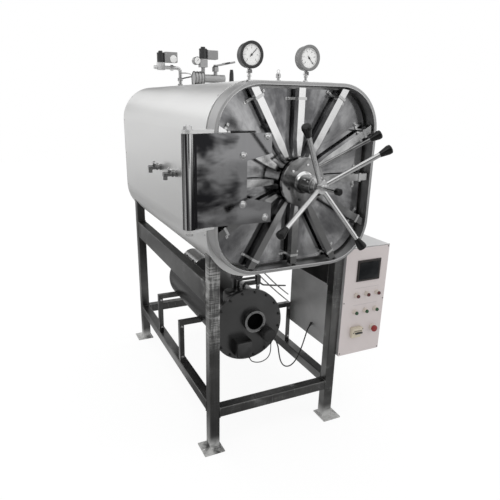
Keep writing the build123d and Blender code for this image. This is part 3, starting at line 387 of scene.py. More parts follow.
def box_sheet(name, colour, dark):
    """Satin box sheet with painted light: paler toward its upper front edge, darker below and behind."""
    finish = Finish(name, colour, 0.45, metallic=0.6)
    where = finish.place()
    wide = finish.noise(finish.place(scale=(1, 1.2, 2.2)), 2.4, 3, 0.55, 0.6)
    grain = finish.noise(finish.place(scale=(160, 160, 3)), 1.0, 3, 0.6)
    # Painted light and shade: the colour goes from dark to colour toward the upper front edge
    painted_light = (where.part("Z") * 0.9 - where.part("Y") * 0.5 + wide.swing(0.5)).ramp(0.55, 1.15)
    finish.set(**{"Base Color": finish.blend(painted_light, dark, colour),
                  "Roughness": 0.42 + wide.swing(0.2) + grain.swing(0.08)})
    finish.bump(wide, 0.0008, 0.2)
    return finish.material


def satin_jacket(name, colour, low_colour):
    """Satin cladding sheet: long faint grain and specks, and painted light that grades the colour by height
    from low_colour below to colour above.
    """
    finish = Finish(name, colour, 0.40, metallic=1.0)
    where = finish.place()
    height = where.part("Z")
    grain = finish.noise(finish.place(scale=(240, 2.2, 240)), 1.0, 4, 0.6)
    wide = finish.noise(finish.place(scale=(1.1, 0.6, 1.8)), 2.2, 3, 0.5, 0.6)
    dents = finish.noise(finish.place(scale=(1.0, 0.45, 1.2)), 3.0, 1, 0.4)
    specks = finish.noise(where, 55.0, 2, 0.5).ramp(0.74, 0.80)
    # Painted light: the colour goes from low_colour below to colour above
    painted_light = (height + wide.swing(0.25)).ramp(1.08, 1.62)
    tinted = finish.blend(painted_light, low_colour, colour)
    shade = 1.0 + grain.swing(0.05) + wide.swing(0.10) - specks * 0.10
    finish.set(**{"Base Color": finish.tone(tinted, shade),
                  "Roughness": 0.38 + wide.swing(0.14) + grain.swing(0.06)})
    finish.bump(dents * 0.9 + grain * 0.1, 0.0012, 0.18)
    return finish.material


finishes = {
    "jacket": satin_jacket("jacket_satin", (0.78, 0.78, 0.775), (0.80, 0.80, 0.795)),
    "ring": steel("ring_satin", (0.44, 0.44, 0.44), 0.40, grain=(5, 200, 5), cloud=0.35, cloud_scale=4.0),
    "plate": door_sheet("door_mirror", (0.50, 0.50, 0.505), (0.13, 0.13, 0.135)),
    "yoke": mirror_with_painted_reflections("yoke_mirror", (0.25, 0.25, 0.255), (0.020, 0.020, 0.022), 3.0, 0.08,
                         streak=(1.5, 1.5, 3.6), warp=0.2, strip_end=-0.520),
    "bar": polished_bar("bar_polished"),
    "knurl": steel("cock_chrome", (0.22, 0.22, 0.22), 0.2, streak=0.1, cloud=0.5, cloud_scale=40.0),
    "bright": steel("bright_turned", (0.62, 0.62, 0.62), 0.18, streak=0.06, cloud=0.25, rough_swing=0.08),
    "disc": mirror_with_painted_reflections("cam_disc", (0.38, 0.38, 0.38), (0.10, 0.10, 0.10), 2.4, 0.10, streak=(3, 1, 3),
                         warp=0.3),
    "hub": turned_hub("hub_turned"),
    "frame": frame_steel("frame_brushed", (0.13, 0.13, 0.128), 0.30, 0.9),
    "frame_dark": frame_steel("frame_dark", (0.07, 0.07, 0.069), 0.34),
    "frame_film": frame_steel("frame_filmed", (0.12, 0.12, 0.118), 0.30, 0.9, 0.70),
    "boiler": steel("boiler_dark", (0.105, 0.105, 0.105), 0.32, streak=0.12, cloud=0.55, cloud_scale=5.0),
    "boiler_light": steel("boiler_sheet", (0.055, 0.055, 0.055), 0.30, grain=(8, 4, 8), streak=0.12,
                          cloud=0.4, cloud_scale=4.0),
    "drum": steel("drum_sheet", (0.46, 0.46, 0.46), 0.30, grain=(8, 3, 8), streak=0.2, cloud=0.5,
                  cloud_scale=9.0),
    "chamber": steel("chamber_steel", (0.42, 0.42, 0.42), 0.33, cloud=0.25),
    "box": box_sheet("box_satin", (0.74, 0.74, 0.74), (0.36, 0.36, 0.36)),
    "gasket": moulded("gasket_silicone", (0.70, 0.70, 0.68), 0.6),
    "black": moulded("black_knob", (0.003, 0.003, 0.003), 0.16, shine=0.35),
    "rubber": moulded("black_rubber", (0.018, 0.018, 0.018), 0.5),
    "coil": moulded("coil_black", (0.035, 0.035, 0.036), 0.4),
    "case": moulded("gauge_case", (0.022, 0.022, 0.023), 0.40, coat=0.1),
    "case_light": moulded("gauge_case_grey", (0.22, 0.22, 0.22), 0.40),
    # Near-black painted shade, put in the hollow of the boiler's port
    "hollow_shade": moulded("hollow_shade_black", (0.0015, 0.0015, 0.0015), 0.95, shine=0.1),
    "panel": moulded("panel_paint", (0.62, 0.565, 0.558), 0.38, dust=0.012),
    "screen": moulded("screen_glass", (0.004, 0.005, 0.006), 0.20, shine=0.2),
    "bezel": moulded("screen_bezel", (0.020, 0.015, 0.013), 0.45),
    "cream": moulded("cream_plastic", (0.62, 0.56, 0.50), 0.35),
    "red_lens": moulded("red_lens", (0.075, 0.008, 0.008), 0.14, coat=0.5),
    "green": moulded("green_button", (0.014, 0.060, 0.022), 0.2, coat=0.4),
    "red": moulded("stop_red", (0.24, 0.010, 0.010), 0.28, coat=0.4),
    "beige": moulded("breaker_beige", (0.60, 0.54, 0.43), 0.42),
    "grey": moulded("grey_plastic", (0.30, 0.30, 0.30), 0.42),
    "dial": moulded("dial_white", (0.93, 0.93, 0.92), 0.6, dust=0.005),
    "ink": moulded("dial_ink", (0.02, 0.02, 0.02), 0.5),
    "cable": moulded("cable_grey", (0.06, 0.06, 0.06), 0.45),
    "cable_dark": moulded("cable_black", (0.016, 0.016, 0.016), 0.42),
}

node_finish = {
    "jacket_cladding": "jacket", "rear_end": "jacket", "control_box": "box",
    "door_ring": "ring", "hinge_lugs": "jacket", "hinge_pin": "bright", "hinge_yoke": "yoke",
    "chamber_shell": "chamber", "chamber_back": "chamber", "door_gasket": "gasket",
    "door_plate": "plate", "bar_guides": "bright", "hub_barrel": "hub", "lock_lever": "disc",
    "star_handle": "bright", "lever_knob": "black", "star_knobs": "black",
    "panel_face": "panel", "touch_screen": "bezel", "pilot_lamps": "red_lens", "push_buttons": "green",
    "emergency_stop": "red", "breaker": "beige", "heater_heads": "boiler", "boiler_shell": "boiler_light",
    "condensate_drum": "drum", "vent_valves": "ring", "cock_bodies": "knurl", "solenoid_coils": "coil",
    "switch_boxes": "grey", "leg_front_left": "frame_film", "upper_rails": "frame_dark",
}


def finish_for(node):
    """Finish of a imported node: its own, else by how its name starts, else bright steel."""
    if node in node_finish:
        return node_finish[node]
    for start, finish in (("leg_", "frame"), ("lower_", "frame"), ("boiler_b", "frame"),
                          ("boiler_f", "boiler"), ("boiler_r", "boiler_light"), ("bar_", "bar"),
                          ("cable", "cable")):
        if node.startswith(start):
            return finish
    return "bright"


for node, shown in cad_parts.items():
    shown.data.materials.clear()
    shown.data.materials.append(finishes[finish_for(node)])
for flex, finish in zip(loose_cords, ("cable", "cable_dark")):
    flex.data.materials.append(finishes[finish])


UP, DOWN = (0, 0, 1), (0, 0, -1)
FRONT, BACK = (0, -1, 0), (0, 1, 0)
LEFT, RIGHT = (-1, 0, 0), (1, 0, 0)
CORNERS = ((-1, -1), (1, -1), (1, 1), (-1, 1))


def stood(place, direction=UP, turn=0.0):
    """Matrix that puts local Z along direction at place."""
    aim = Vector(direction).to_track_quat("Z", "Y").to_matrix().to_4x4()
    return Matrix.Translation(place) @ aim @ Matrix.Rotation(turn, 4, "Z")


def spoke(angle):
    """Unit vector in the door's plane, at an angle in radians from the right."""
    return Vector((cos(angle), 0, sin(angle)))


def settle(piece, body, finish):
    """Gives a new piece its finish and body."""
    piece.data.materials.append(finishes[finish])
    scene.collection.objects.link(piece)
    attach(piece, body)
    return piece


class Shape:
    """A piece in the making; each part is shaped by mesh operators and set at its place."""

    def __init__(self):
        self.mesh = bmesh.new()

    def take(self, part, matrix):
        """Adds a part, faces outwards, at the place that the matrix gives."""
        bmesh.ops.recalc_face_normals(part, faces=part.faces)
        bmesh.ops.transform(part, matrix=matrix, verts=part.verts)
        data = bpy.data.meshes.new("part")
        part.to_mesh(data)
        part.free()
        self.mesh.from_mesh(data)
        bpy.data.meshes.remove(data)

    def soften(self, part, edges, width, steps=2):
        bmesh.ops.bevel(part, geom=edges, offset=width, segments=steps, profile=0.5, affect="EDGES",
                        material=-1)

    def post(self, radius, height, place, direction=UP, sides=28, edge=0.0, turn=0.0, top=None):
        """Round or many-sided post standing on place."""
        part = bmesh.new()
        bmesh.ops.create_cone(part, cap_ends=True, segments=sides, radius1=radius,
                              radius2=radius if top is None else top, depth=height,
                              matrix=Matrix.Translation((0, 0, height / 2)))
        if edge:
            self.soften(part, [e for e in part.edges if min(v.co.z for v in e.verts) > height * 0.99], edge)
        self.take(part, stood(place, direction, turn))

    def block(self, size, place, edge=0.001, direction=UP, turn=0.0):
        """Box with softened edges, centred on place."""
        part = bmesh.new()
        bmesh.ops.create_cube(part, size=1.0, matrix=Matrix.Diagonal((*size, 1)))
        self.soften(part, list(part.edges), edge)
        self.take(part, stood(place, direction, turn))

    def turned(self, profile, place, direction=UP, steps=36, closed=False):
        """Spun shape; the profile is given as radius and height."""
        part = bmesh.new()
        points = [part.verts.new((radius, 0, height)) for radius, height in profile]
        lines = [part.edges.new(pair) for pair in zip(points, points[1:])]
        if closed:
            lines.append(part.edges.new((points[-1], points[0])))
        bmesh.ops.spin(part, geom=points + lines, cent=(0, 0, 0), axis=UP, dvec=(0, 0, 0),
                       angle=2 * pi, steps=steps, use_merge=True)
        bmesh.ops.remove_doubles(part, verts=part.verts, dist=1e-6)
        self.take(part, stood(place, direction))

    def hoop(self, radius, wire, place, direction=UP, sides=10):
        """Ring of round wire."""
        profile = [(radius + wire * cos(2 * pi * i / sides), wire * sin(2 * pi * i / sides))
                   for i in range(sides)]
        self.turned(profile, place, direction, closed=True)

    def nut(self, across, height, place, direction, turn=0.0):
        """Hexagon with chamfered corners."""
        self.post(across, height, place, direction, sides=6, edge=across * 0.12, turn=turn)

    def dome(self, radius, height, place, direction, steps=20):
        """Low round head."""
        profile = [(0, 0), (radius, 0)]
        profile += [(radius * cos(a), height * sin(a)) for a in (radians(30), radians(60))]
        self.turned(profile + [(0, height)], place, direction, steps)

    def screw(self, radius, place, direction):
        """Small pan head."""
        self.dome(radius, radius * 0.55, place, direction, 14)

    def numeral(self, text, size, matrix):
        """Raised figure, made a mesh and then set at its place."""
        curve = bpy.data.curves.new("numeral", "FONT")
        curve.body = text
        curve.size = size
        curve.align_x = "CENTER"
        curve.align_y = "CENTER"
        curve.extrude = 0.0002
        curve.resolution_u = 3
        holder = bpy.data.objects.new("numeral", curve)
        scene.collection.objects.link(holder)
        data = bpy.data.meshes.new_from_object(holder)
        data.transform(matrix)
        self.mesh.from_mesh(data)
        bpy.data.objects.remove(holder)
        bpy.data.meshes.remove(data)

    def done(self, name, body, finish, replaces=()):
        """Closes the piece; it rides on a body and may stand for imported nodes."""
        data = bpy.data.meshes.new(name)
        for face in self.mesh.faces:
            face.smooth = True
        self.mesh.to_mesh(data)
        self.mesh.free()
        data.set_sharp_from_angle(angle=radians(38))
        piece = settle(bpy.data.objects.new(name, data), body, finish)
        for node in replaces:
            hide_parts(node)
        return piece


def run_of_tube(name, routes, radius, finish, cyclic=False, smooth=True):
    """Thin pipes, wires or weld beads along routes."""
    data = bpy.data.curves.new(name, "CURVE")
    data.dimensions = "3D"
    data.bevel_depth = radius
    data.bevel_resolution = 3
    data.use_fill_caps = not cyclic
    for route in routes:
        spline = data.splines.new("NURBS" if smooth else "POLY")
        spline.points.add(len(route) - 1)
        for point, place in zip(spline.points, route):
            point.co = (*place, 1)
        if smooth:
            spline.order_u = 3
            spline.use_endpoint_u = True
            spline.resolution_u = 10
        spline.use_cyclic_u = cyclic
    return settle(bpy.data.objects.new(name, data), "root", finish)


# Places on the vessel, in metres; a size is width, height, corner radius and centre height
FACE_Y = -0.843
RING_FRONT = -0.911
JACKET_FRONT = -0.815
JACKET_REAR = 0.885
JACKET_SIZE = (0.874, 0.928, 0.229, 1.505)
OPENING_SIZE = (0.838, 0.852, 0.207, 1.522)
COCK_X = -0.437
COCK_Z = 1.508
COCK_SPINDLE = 0.0429
COCKS = {"front": -0.385, "rear": -0.085}

# Middles of the legs and the faces where rails meet them, in metres
LEG_X, LEG_Y = 0.380, 0.750
SIDE_RAIL_Y = 0.7205
CROSS_RAIL_X = 0.3495
BEAD_REACH = 0.0305
FOOT_REACH = 0.031


def around(width, height, corner, centre_z, spacing):
    """Points and outward directions round a rounded rectangle that faces the door side."""
    straight_x, straight_z = width / 2 - corner, height / 2 - corner
    found = []
    for sx, sz, start in ((1, 1, 0), (-1, 1, 90), (-1, -1, 180), (1, -1, 270)):
        centre = Vector((sx * straight_x, 0, centre_z + sz * straight_z))
        arc_steps = max(2, round(corner * pi / 2 / spacing))
        for step in range(arc_steps + 1):
            a = radians(start + 90 * step / arc_steps)
            outward = spoke(a)
            found.append((centre + outward * corner, outward))
        side = Vector((-1, 0, 0)) if start in (0, 180) else Vector((0, 0, -1))
        side = side * (1 if start in (0, 90) else -1)
        length = 2 * (straight_x if start in (0, 180) else straight_z)
        count = max(1, round(length / spacing))
        corner_point, outward = found[-1]
        for step in range(1, count):
            found.append((corner_point + side * (length * step / count), outward))
    return found


def wall_distance(angle):
    """Reach from the ring's centre to its opening, at an angle in radians."""
    width, height, corner, _ = OPENING_SIZE
    ux, uz = abs(cos(angle)), abs(sin(angle))
    corner_x, corner_z = width / 2 - corner, height / 2 - corner
    if ux > 1e-9 and width / 2 / ux * uz <= corner_z:
        return width / 2 / ux
    if uz > 1e-9 and height / 2 / uz * ux <= corner_x:
        return height / 2 / uz
    along = ux * corner_x + uz * corner_z
    return along + (along ** 2 - corner_x ** 2 - corner_z ** 2 + corner ** 2) ** 0.5


def dress_door():
    """Nuts of the bar guides, yoke bolts, and the trim of cam disc, hub and star handle."""
    nuts = Shape()
    for k in range(12):
        angle = radians(30 * k)
        out = spoke(angle)
        side = Vector((-sin(angle), 0, cos(angle)))
        seat = Vector((0, FACE_Y, HUB_Z)) + out * (wall_distance(angle) - 0.054)
        for way in (-1, 1):
            foot = seat + side * way * 0.044 + Vector((0, -0.004, 0))
            nuts.nut(0.0075, 0.006, foot, FRONT, angle)
            nuts.post(0.0038, 0.011, foot, FRONT, sides=12, edge=0.0008)
    nuts.done("guide_nuts", "door", "bright")
    bolts = Shape()
    for x, z in ((-0.305, 1.652), (-0.304, 1.435), (-0.188, 1.731), (-0.188, 1.367)):
        bolts.post(0.017, 0.002, (x, -0.929, z), FRONT, edge=0.0006)
        bolts.dome(0.0135, 0.011, (x, -0.931, z), FRONT)
    bolts.done("yoke_bolts", "door", "bright")

    rims = Shape()
    rims.turned(((0.0432, 0), (0.052, 0), (0.052, 0.004), (0.0432, 0.006)), (0, -0.9502, HUB_Z), FRONT,
                closed=True)
    for k in range(6):
        a = radians(18 + 60 * k)
        rims.post(0.0065, 0.004, (0.082 * cos(a), -0.950, HUB_Z + 0.082 * sin(a)), FRONT, sides=6,
                  edge=0.0008, turn=a)
    rims.done("cam_disc_screws", "lock_lever_body", "hub")
    grub = Shape()
    for a in (35, 155, 275):
        out = spoke(radians(a))
        grub.post(0.005, 0.003, Vector((0, -1.040, HUB_Z)) + out * 0.0425, out, sides=12, edge=0.0008)
    grub.hoop(0.0434, 0.0012, (0, -1.062, HUB_Z), FRONT)
    grub.done("hub_grub_screws", "door", "bar")
    star = Shape()
    for y in (-1.0790, -1.1080):
        star.hoop(0.0285, 0.0016, (0, y, HUB_Z), FRONT)
    star.post(0.015, 0.006, (0, -1.1130, HUB_Z), FRONT, edge=0.001)
    star.done("star_hub_collars", "star", "bright")


def dress_hinge():
    """Rims of the hinge post, the cap of the pin and the screws of its lugs."""
    post = Shape()
    low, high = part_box("hinge_yoke")
    axis_x, axis_y = -0.560, -0.925
    for z in (low.z, high.z):
        post.hoop(0.0266, 0.0014, (axis_x, axis_y, z + (0.002 if z == low.z else -0.002)))
    post.done("hinge_post_rims", "door", "bright")
    cap = Shape()
    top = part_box("hinge_pin")[1].z
    cap.dome(0.013, 0.006, (axis_x, axis_y, top), UP)
    cap.post(0.023, 0.002, (axis_x, axis_y, top - 0.0152), edge=0.0006)
    for z in (1.341, 1.749):
        cap.screw(0.006, (-0.452, RING_FRONT + 0.012, z), (-0.5, -1, 0))
    cap.done("hinge_pin_cap", "root", "bright")


def dress_jacket():
    """Rivets and seams of the cladding, the lip of the door ring, and the drain cocks."""
    rivets = Shape()
    for y in (JACKET_FRONT + 0.022, JACKET_REAR - 0.034):
        for point, outward in around(*JACKET_SIZE, 0.21):
            rivets.dome(0.0045, 0.0022, point + Vector((0, y, 0)), outward, 12)
    rivets.done("cladding_rivets", "root", "ring")
    loops = [[point + Vector((0, y, 0)) for point, _ in around(*JACKET_SIZE, 0.03)]
             for y in (JACKET_REAR - 0.012, JACKET_FRONT + 0.002)]
    run_of_tube("cladding_seams", loops, 0.0014, "jacket", cyclic=True, smooth=False)
    width, height, corner, centre = OPENING_SIZE
    lip = [point + Vector((0, RING_FRONT + 0.0005, 0))
           for point, _ in around(width + 0.004, height + 0.004, corner + 0.002, centre, 0.03)]
    run_of_tube("ring_lip_bead", [lip], 0.0022, "bright", cyclic=True, smooth=False)

    cocks = Shape()
    for y in COCKS.values():
        end = Vector((COCK_X - 0.078, y, COCK_Z))
        cocks.nut(0.018, 0.012, (COCK_X, y, COCK_Z), LEFT)
        cocks.nut(0.0165, 0.010, (COCK_X - 0.022, y, COCK_Z), LEFT, 0.3)
        for step in range(5):
            cocks.hoop(0.0128, 0.0010, end + Vector((0.004 + step * 0.005, 0, 0)), RIGHT, 6)
        cocks.post(0.0115, 0.030, (end.x + 0.012, y, COCK_Z), DOWN, edge=0.001)
        cocks.nut(0.0095, 0.008, (COCK_X - COCK_SPINDLE, y, COCK_Z + 0.0135), UP)
    cocks.done("cock_nuts_and_spouts", "root", "knurl")
    for name, y in COCKS.items():
        grip = Shape()
        grip.block((0.018, 0.046, 0.009), (COCK_X - COCK_SPINDLE, y - 0.048, 1.5363), 0.003)
        grip.nut(0.006, 0.005, (COCK_X - COCK_SPINDLE, y, 1.5393), UP)
        grip.done(f"cock_grip_{name}", f"cock_{name}", "bright")


def dress_frame():
    """Weld beads of the frame and bolts of the boiler's brackets."""
    beads = []
    for sx in (-1, 1):
        for sy in (-1, 1):
            for centre, tall in ((0.260, 0.060), (0.939, 0.122)):
                beads.append([(sx * LEG_X + dx * BEAD_REACH, sy * SIDE_RAIL_Y,
                               centre + dz * (tall / 2 + 0.0005)) for dx, dz in CORNERS])
            level = 0.235 if sy < 0 else 0.260
            beads.append([(sx * CROSS_RAIL_X, sy * LEG_Y + dy * BEAD_REACH, level + dz * BEAD_REACH)
                          for dy, dz in CORNERS])
            beads.append([(sx * LEG_X + dx * FOOT_REACH, sy * LEG_Y + dy * FOOT_REACH, 0.009)
                          for dx, dy in CORNERS])
    run_of_tube("frame_weld_beads", beads, 0.0030, "frame", cyclic=True, smooth=False)
    plugs = Shape()
    for sx in (-1, 1):
        for y in (-0.230, 0.240):
            for z in (0.535, 0.320):
                plugs.nut(0.009, 0.007, (sx * 0.3875, y - 0.0155, z), FRONT)
    plugs.done("bracket_bolts", "root", "bright")


def dress_boiler():
    """Flange, port ring, heater box and plug, cable glands, drum and riser wheel."""
    axis = Vector((-0.100, 0, 0.648))
    front = -0.600
    bolts = Shape()
    for k in range(16):
        a = radians(11.25 + 22.5 * k)
        bolts.nut(0.0075, 0.006, axis + Vector((0.203 * cos(a), front, 0.203 * sin(a))), FRONT, a)
        bolts.nut(0.0075, 0.007, axis + Vector((0.203 * cos(a), front + 0.025, 0.203 * sin(a))), BACK, a)
    bolts.done("flange_bolts", "root", "boiler_light")
    port = axis + Vector((0.032, front - 0.030, 0.030))
    studs = Shape()
    for k in range(8):
        a = radians(22.5 + 45 * k)
        studs.dome(0.0042, 0.003, port + Vector((0.0592 * cos(a), 0, 0.0592 * sin(a))), FRONT, 14)
    studs.turned(((0.0498, -0.020), (0.0520, 0.0008), (0.0545, 0.0008), (0.0545, -0.001)), port, FRONT)
    studs.turned(((0.0655, 0.0), (0.0675, 0.0012), (0.0685, -0.002), (0.0685, -0.029)), port, FRONT)
    studs.turned(((0.0548, -0.001), (0.0548, 0.0006), (0.0655, 0.0006), (0.0655, -0.001)), port, FRONT)
    studs.done("port_ring_trim", "root", "bar")
    # Near-black cup inside the port ring: painted shade of the port's hollow
    hole = Shape()
    hole.turned(((0, -0.0465), (0.0497, -0.0465), (0.0497, -0.004), (0.0488, -0.004), (0.0488, -0.0455),
                 (0, -0.0455)), port, FRONT)
    hole.done("port_hollow_shade", "root", "hollow_shade")

    box = axis + Vector((-0.048, front - 0.060, -0.118))
    head = Shape()
    head.block((0.092, 0.090, 0.010), box + Vector((0, -0.003, 0)), 0.003, FRONT)
    for dx in (-1, 1):
        for dz in (-1, 1):
            head.screw(0.0035, box + Vector((dx * 0.038, -0.008, dz * 0.037)), FRONT)
    head.post(0.009, 0.014, box + Vector((0.037, 0.019, -0.047)), DOWN, edge=0.001)
    head.done("heater_box_lid", "root", "boiler")
    plug = axis + Vector((0.112, front - 0.062, -0.062))
    ribs = Shape()
    for step in range(4):
        ribs.hoop(0.0398, 0.0016, plug + Vector((0, 0.012 + step * 0.009, 0)), FRONT, 8)
    ribs.turned(((0, -0.0005), (0.0404, -0.0005), (0.0404, 0.050), (0.036, 0.056), (0, 0.056)),
                plug, BACK)
    ribs.turned(((0, 0), (0.036, 0), (0.036, 0.003), (0.030, 0.005), (0, 0.005)), plug, FRONT)
    ribs.done("heater_plug_ribs", "root", "rubber")
    glands = Shape()
    for _, _, route in CORD_ROUTES.values():
        for index, nearer in ((0, 1), (-1, -2)):
            root, onward = Vector(route[index]), Vector(route[nearer])
            way = (onward - root).normalized()
            glands.turned(((0.0032, 0), (0.0085, 0), (0.0085, 0.007), (0.0068, 0.009), (0.0055, 0.026),
                           (0.0042, 0.028)), root - way * 0.002, way, 20)
    glands.done("cable_glands", "root", "rubber")

    drum = Vector((-0.222, -0.215, 0.888))
    rim = Shape()
    rim.turned(((0.0700, 0.010), (0.0712, 0.010), (0.0712, -0.002), (0.0640, -0.002), (0.0640, 0.004),
                (0.0700, 0.004)), drum, BACK, closed=True)
    rim.turned(((0.0700, 0.214), (0.0712, 0.214), (0.0712, 0.222), (0.0640, 0.222), (0.0640, 0.216),
                (0.0700, 0.216)), drum, BACK, closed=True)
    rim.done("drum_rims", "root", "bright")
    face = Shape()
    face.turned(((0, -0.0006), (0.0642, -0.0006), (0.0642, 0.001), (0, 0.001)), drum, BACK)
    face.nut(0.012, 0.012, drum + Vector((0.02, 0, 0.02)), FRONT)
    face.done("drum_front_plug", "root", "coil")

    wheel = Shape()
    hub = Vector((-0.130, -0.530, 0.9375))
    wheel.hoop(0.024, 0.0035, hub, FRONT)
    for k in range(4):
        a = radians(45 + 90 * k)
        out = spoke(a)
        wheel.post(0.0028, 0.023, hub, out, sides=10)
    wheel.nut(0.008, 0.006, hub, FRONT)
    wheel.done("riser_wheel", "root", "coil")


def dress_control_box():
    """Screws and rules of the panel, screen pane, lamps, buttons, breaker and stop button."""
    face = -0.801
    screws = Shape()
    for x, z in ((0.419, 0.776), (0.703, 0.769), (0.419, 0.448), (0.701, 0.443), (0.703, 1.096),
                 (0.419, 1.096)):
        screws.screw(0.0042, (x, face, z), FRONT)
    screws.done("panel_screws", "root", "boiler")
    edge = Shape()
    edge.block((0.300, 0.004, 0.006), (0.560, face + 0.001, 1.1065), 0.001)
    edge.done("panel_top_trim", "root", "bright")

    glass = Shape()
    glass.block((0.138, 0.104, 0.0016), (0.573, face - 0.0075, 0.965), 0.0006, FRONT)
    glass.done("screen_pane", "root", "screen")

    holders, lenses, caps = Shape(), Shape(), Shape()
    for x in (0.500, 0.575, 0.650):
        for z, tip in ((0.817, lenses), (0.711, caps)):
            where = (x, face, z)
            holders.turned(((0, 0), (0.0150, 0), (0.0150, 0.003), (0.0135, 0.005), (0.0128, 0.020),
                            (0.0118, 0.0215), (0, 0.0215)), where, FRONT, 28)
            tip.turned(((0, 0.0215), (0.0112, 0.0215), (0.0112, 0.026), (0.0092, 0.0292), (0.0048, 0.0306),
                        (0, 0.031)), where, FRONT, 28)
    holders.done("lamp_and_button_holders", "root", "cream")
    lenses.done("pilot_lamp_lenses", "root", "red_lens", ["pilot_lamps"])
    caps.done("push_button_caps", "root", "green", ["push_buttons"])

    stop = (0.642, face, 0.588)
    base = Shape()
    base.turned(((0, 0), (0.0215, 0), (0.0215, 0.003), (0.0165, 0.006), (0.0150, 0.018), (0, 0.018)), stop,
                FRONT)
    base.done("stop_button_base", "root", "cream")
    head = Shape()
    head.turned(((0, 0.016), (0.0130, 0.016), (0.0190, 0.020), (0.0205, 0.024), (0.0205, 0.029),
                 (0.0185, 0.0335), (0.0120, 0.0358), (0, 0.0365)), stop, FRONT)
    head.done("stop_button_head", "root", "red", ["emergency_stop"])

    body = Shape()
    centre = Vector((0.518, face, 0.581))
    body.block((0.072, 0.046, 0.028), centre + Vector((0, -0.014, 0.010)), 0.003, FRONT)
    body.block((0.066, 0.024, 0.018), centre + Vector((0, -0.009, -0.023)), 0.002, FRONT)
    body.block((0.070, 0.010, 0.034), centre + Vector((0, -0.017, 0.027)), 0.002, FRONT)
    body.done("breaker_body", "root", "beige", ["breaker"])
    toggle = Shape()
    toggle.block((0.050, 0.009, 0.012), centre + Vector((0.006, -0.031, 0.000)), 0.002, FRONT)
    toggle.block((0.060, 0.003, 0.002), centre + Vector((0, -0.0282, 0.013)), 0.0006, FRONT)
    toggle.screw(0.004, centre + Vector((-0.030, -0.028, 0.004)), FRONT)
    toggle.screw(0.004, centre + Vector((0.030, -0.033, 0.027)), FRONT)
    toggle.done("breaker_toggle", "root", "coil")

    lines = Shape()
    for z in (0.858, 0.752):
        lines.block((0.175, 0.0012, 0.0004), (0.575, face - 0.0001, z), 0.0001, FRONT)
    lines.done("panel_rule_lines", "root", "grey")


# Angle of a dial's first mark, and the angle to its last, in degrees
DIAL_START, DIAL_SWEEP = 225, 270


def dress_gauges():
    """Cases, dials, marks, pointers and stems of the two pressure gauges."""
    front, tall = -0.876, 2.067
    stems, dials, ink = Shape(), Shape(), Shape()
    for side, x, pointer, last in (("left", -0.247, radians(47), 6), ("right", 0.042, radians(-48), 10)):
        cases = Shape()
        centre = Vector((x, front, tall))
        cases.turned(((0, 0.052), (0.040, 0.052), (0.049, 0.049), (0.052, 0.044), (0.052, 0.010),
                      (0.0550, 0.009), (0.0550, 0.001), (0.0535, -0.0005), (0.0440, -0.0005),
                      (0.0425, 0.003), (0.0425, 0.008), (0, 0.008)), centre, BACK, 48)
        cases.done(f"gauge_case_{side}", "root", "case" if side == "left" else "case_light",
                   ["pressure_gauges"])
        dials.turned(((0, 0.0062), (0.0424, 0.0062), (0.0424, 0.0078), (0, 0.0078)), centre, BACK, 48)
        plane = Vector((x, front + 0.0061, tall))
        marks = last * 5
        for mark in range(marks + 1):
            a = radians(DIAL_START - DIAL_SWEEP * mark / marks)
            out = spoke(a)
            whole = mark % 5 == 0
            length = 0.0075 if whole else 0.004
            ink.block((length, 0.0013 if whole else 0.0007, 0.0005), plane + out * (0.0400 - length / 2),
                      0.00005, FRONT, a)
            if whole and (last == 6 or mark % 10 == 0):
                ink.numeral(str(mark // 5), 0.0090, stood(plane + out * 0.0275, FRONT))
        ink.block((0.046, 0.0022, 0.0008), plane + Vector((cos(pointer), -1.5, sin(pointer))) * 0.0010
                  + spoke(pointer) * 0.010, 0.0002, FRONT, pointer)
        ink.turned(((0, 0), (0.0045, 0), (0.0040, 0.003), (0, 0.0034)), plane, FRONT, 20)
        foot = 1.963 if x > -0.2 else 1.958
        stems.post(0.0065, tall - 0.048 - foot, (x, -0.850, foot))
        stems.nut(0.013, 0.015, (x, -0.850, tall - 0.072), UP)
        stems.post(0.0095, 0.012, (x, -0.850, tall - 0.057), edge=0.002)
        stems.nut(0.0125, 0.010, (x, -0.850, foot), UP, 0.4)
        stems.post(0.0090, 0.008, (x, -0.850, foot + 0.022), edge=0.001)
    dials.done("gauge_dials", "root", "dial")
    ink.done("gauge_marks_and_pointers", "root", "ink")
    stems.done("gauge_stems", "root", "bright")


